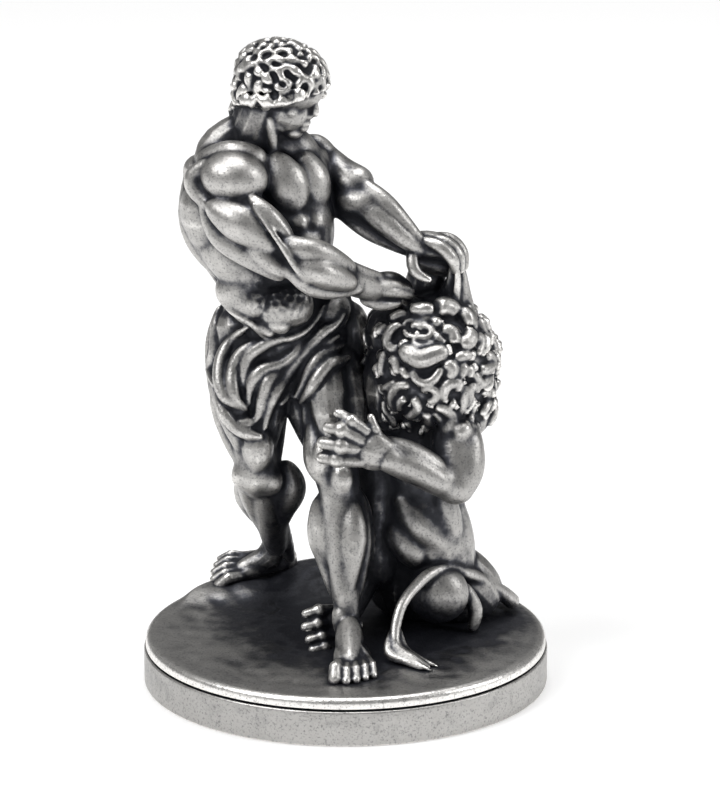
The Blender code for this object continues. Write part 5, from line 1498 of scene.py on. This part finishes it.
def softbox(name, place, aim, size, watts):
    light = bpy.data.lights.new(name, "AREA")
    light.shape = "RECTANGLE"
    light.size, light.size_y = size
    light.energy = watts
    holder = bpy.data.objects.new(name, light)
    bpy.context.scene.collection.objects.link(holder)
    holder.location = place
    holder.rotation_mode = "QUATERNION"
    holder.rotation_quaternion = (Vector(aim) - Vector(place)).to_track_quat("-Z", "Y")


def studio():
    world = bpy.data.worlds.new("studio")
    bpy.context.scene.world = world
    world.use_nodes = True
    back = world.node_tree.nodes["Background"]
    back.inputs["Color"].default_value = (1, 1, 1, 1)
    back.inputs["Strength"].default_value = 0.2
    aim = (0, 0, 0.04)
    softbox("key_left", (-0.50, -0.30, 0.70), aim, (0.5, 0.5), 4.0)
    softbox("fill_right", (0.80, -0.10, 0.45), aim, (0.25, 0.5), 2.1)
    softbox("overhead", (0.05, 0.10, 0.95), aim, (0.5, 0.5), 4.8)


def camera():
    lens = bpy.data.cameras.new("camera")
    lens.lens = 224.5
    lens.sensor_width = 36
    lens.clip_start = 0.01
    lens.clip_end = 10
    holder = bpy.data.objects.new("camera", lens)
    bpy.context.scene.collection.objects.link(holder)
    holder.location = (FRONT_EYE + vec(0, 0, GROUND_TOP)) * MM
    holder.rotation_mode = "QUATERNION"
    holder.rotation_quaternion = (-FRONT_BACK).to_track_quat("-Z", "Y")
    bpy.context.scene.camera = holder


def make_man():
    clay = Clay()
    man(clay)
    return fused("man", clay, carve_man)


def make_lion():
    clay = Clay()
    lion(clay)
    return fused("lion", clay, carve_lion)


def rounded(radius, height, bend, start, end, steps):
    """Points of an arc round this radius and height, from one angle to another in degrees."""
    points = []
    for i in range(steps + 1):
        angle = math.radians(mix(start, end, i / steps))
        points.append((radius + bend * math.cos(angle), height + bend * math.sin(angle)))
    return points


def make_ground():
    """The cast ground: a turned disc with a round edge, whose top is raised where the figures stand."""
    radius = PLINTH_RADIUS - GROUND_SETBACK
    bottom = PLINTH_HEIGHT + SEAM_GAP
    flat = radius - GROUND_EDGE
    rings = 110
    outline = [(flat * i / rings, GROUND_TOP) for i in range(rings + 1)]
    outline += rounded(flat, GROUND_TOP - GROUND_EDGE, GROUND_EDGE, 90, 0, 6)[1:]
    outline += [(radius, bottom), (radius * 0.5, bottom), (0, bottom)]
    made = turned("ground", outline, 420)
    points, _, _ = read_mesh(made)
    x, y, z = points.T / MM
    points[:, 2] += (z > GROUND_TOP - 0.01) * ground_height(x, y) * MM
    made.data.vertices.foreach_set("co", points.ravel())
    made.data.update()
    activate(made)
    bpy.ops.object.shade_smooth_by_angle(angle=math.radians(50))
    return made


def make_plinth():
    """The turned plinth, with softly rounded edges."""
    edge = 0.25
    flat = PLINTH_RADIUS - edge
    outline = [(0, PLINTH_HEIGHT), (PLINTH_RADIUS * 0.5, PLINTH_HEIGHT), (PLINTH_RADIUS - 0.8, PLINTH_HEIGHT)]
    outline += rounded(flat, PLINTH_HEIGHT - edge, edge, 90, 0, 4)
    for share in (0.8, 0.6, 0.4, 0.2):
        outline.append((PLINTH_RADIUS, edge + (PLINTH_HEIGHT - 2 * edge) * share))
    outline += rounded(flat, edge, edge, 0, -90, 4)
    outline += [(PLINTH_RADIUS * 0.5, 0), (0, 0)]
    made = turned("plinth_turned", outline, 160)
    activate(made)
    bpy.ops.object.shade_smooth_by_angle(angle=math.radians(50))
    return made


figures = [make_man(), make_lion(), make_ground()]
stand = make_plinth()
age_and_shade(figures + [stand])
skin = old_pewter("old_pewter")
earth = old_pewter("ground_pewter", darker_round_figures=True)
for piece in figures:
    piece.data.materials.clear()
    piece.data.materials.append(earth if piece.name == "ground" else skin)
    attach(piece, "root")
    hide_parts("statue")
stand.data.materials.append(old_pewter("plinth_pewter", -0.15))
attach(stand, "root")
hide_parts("plinth")

bpy.context.scene.view_settings.view_transform = "Standard"
plain_floor()
studio()
camera()
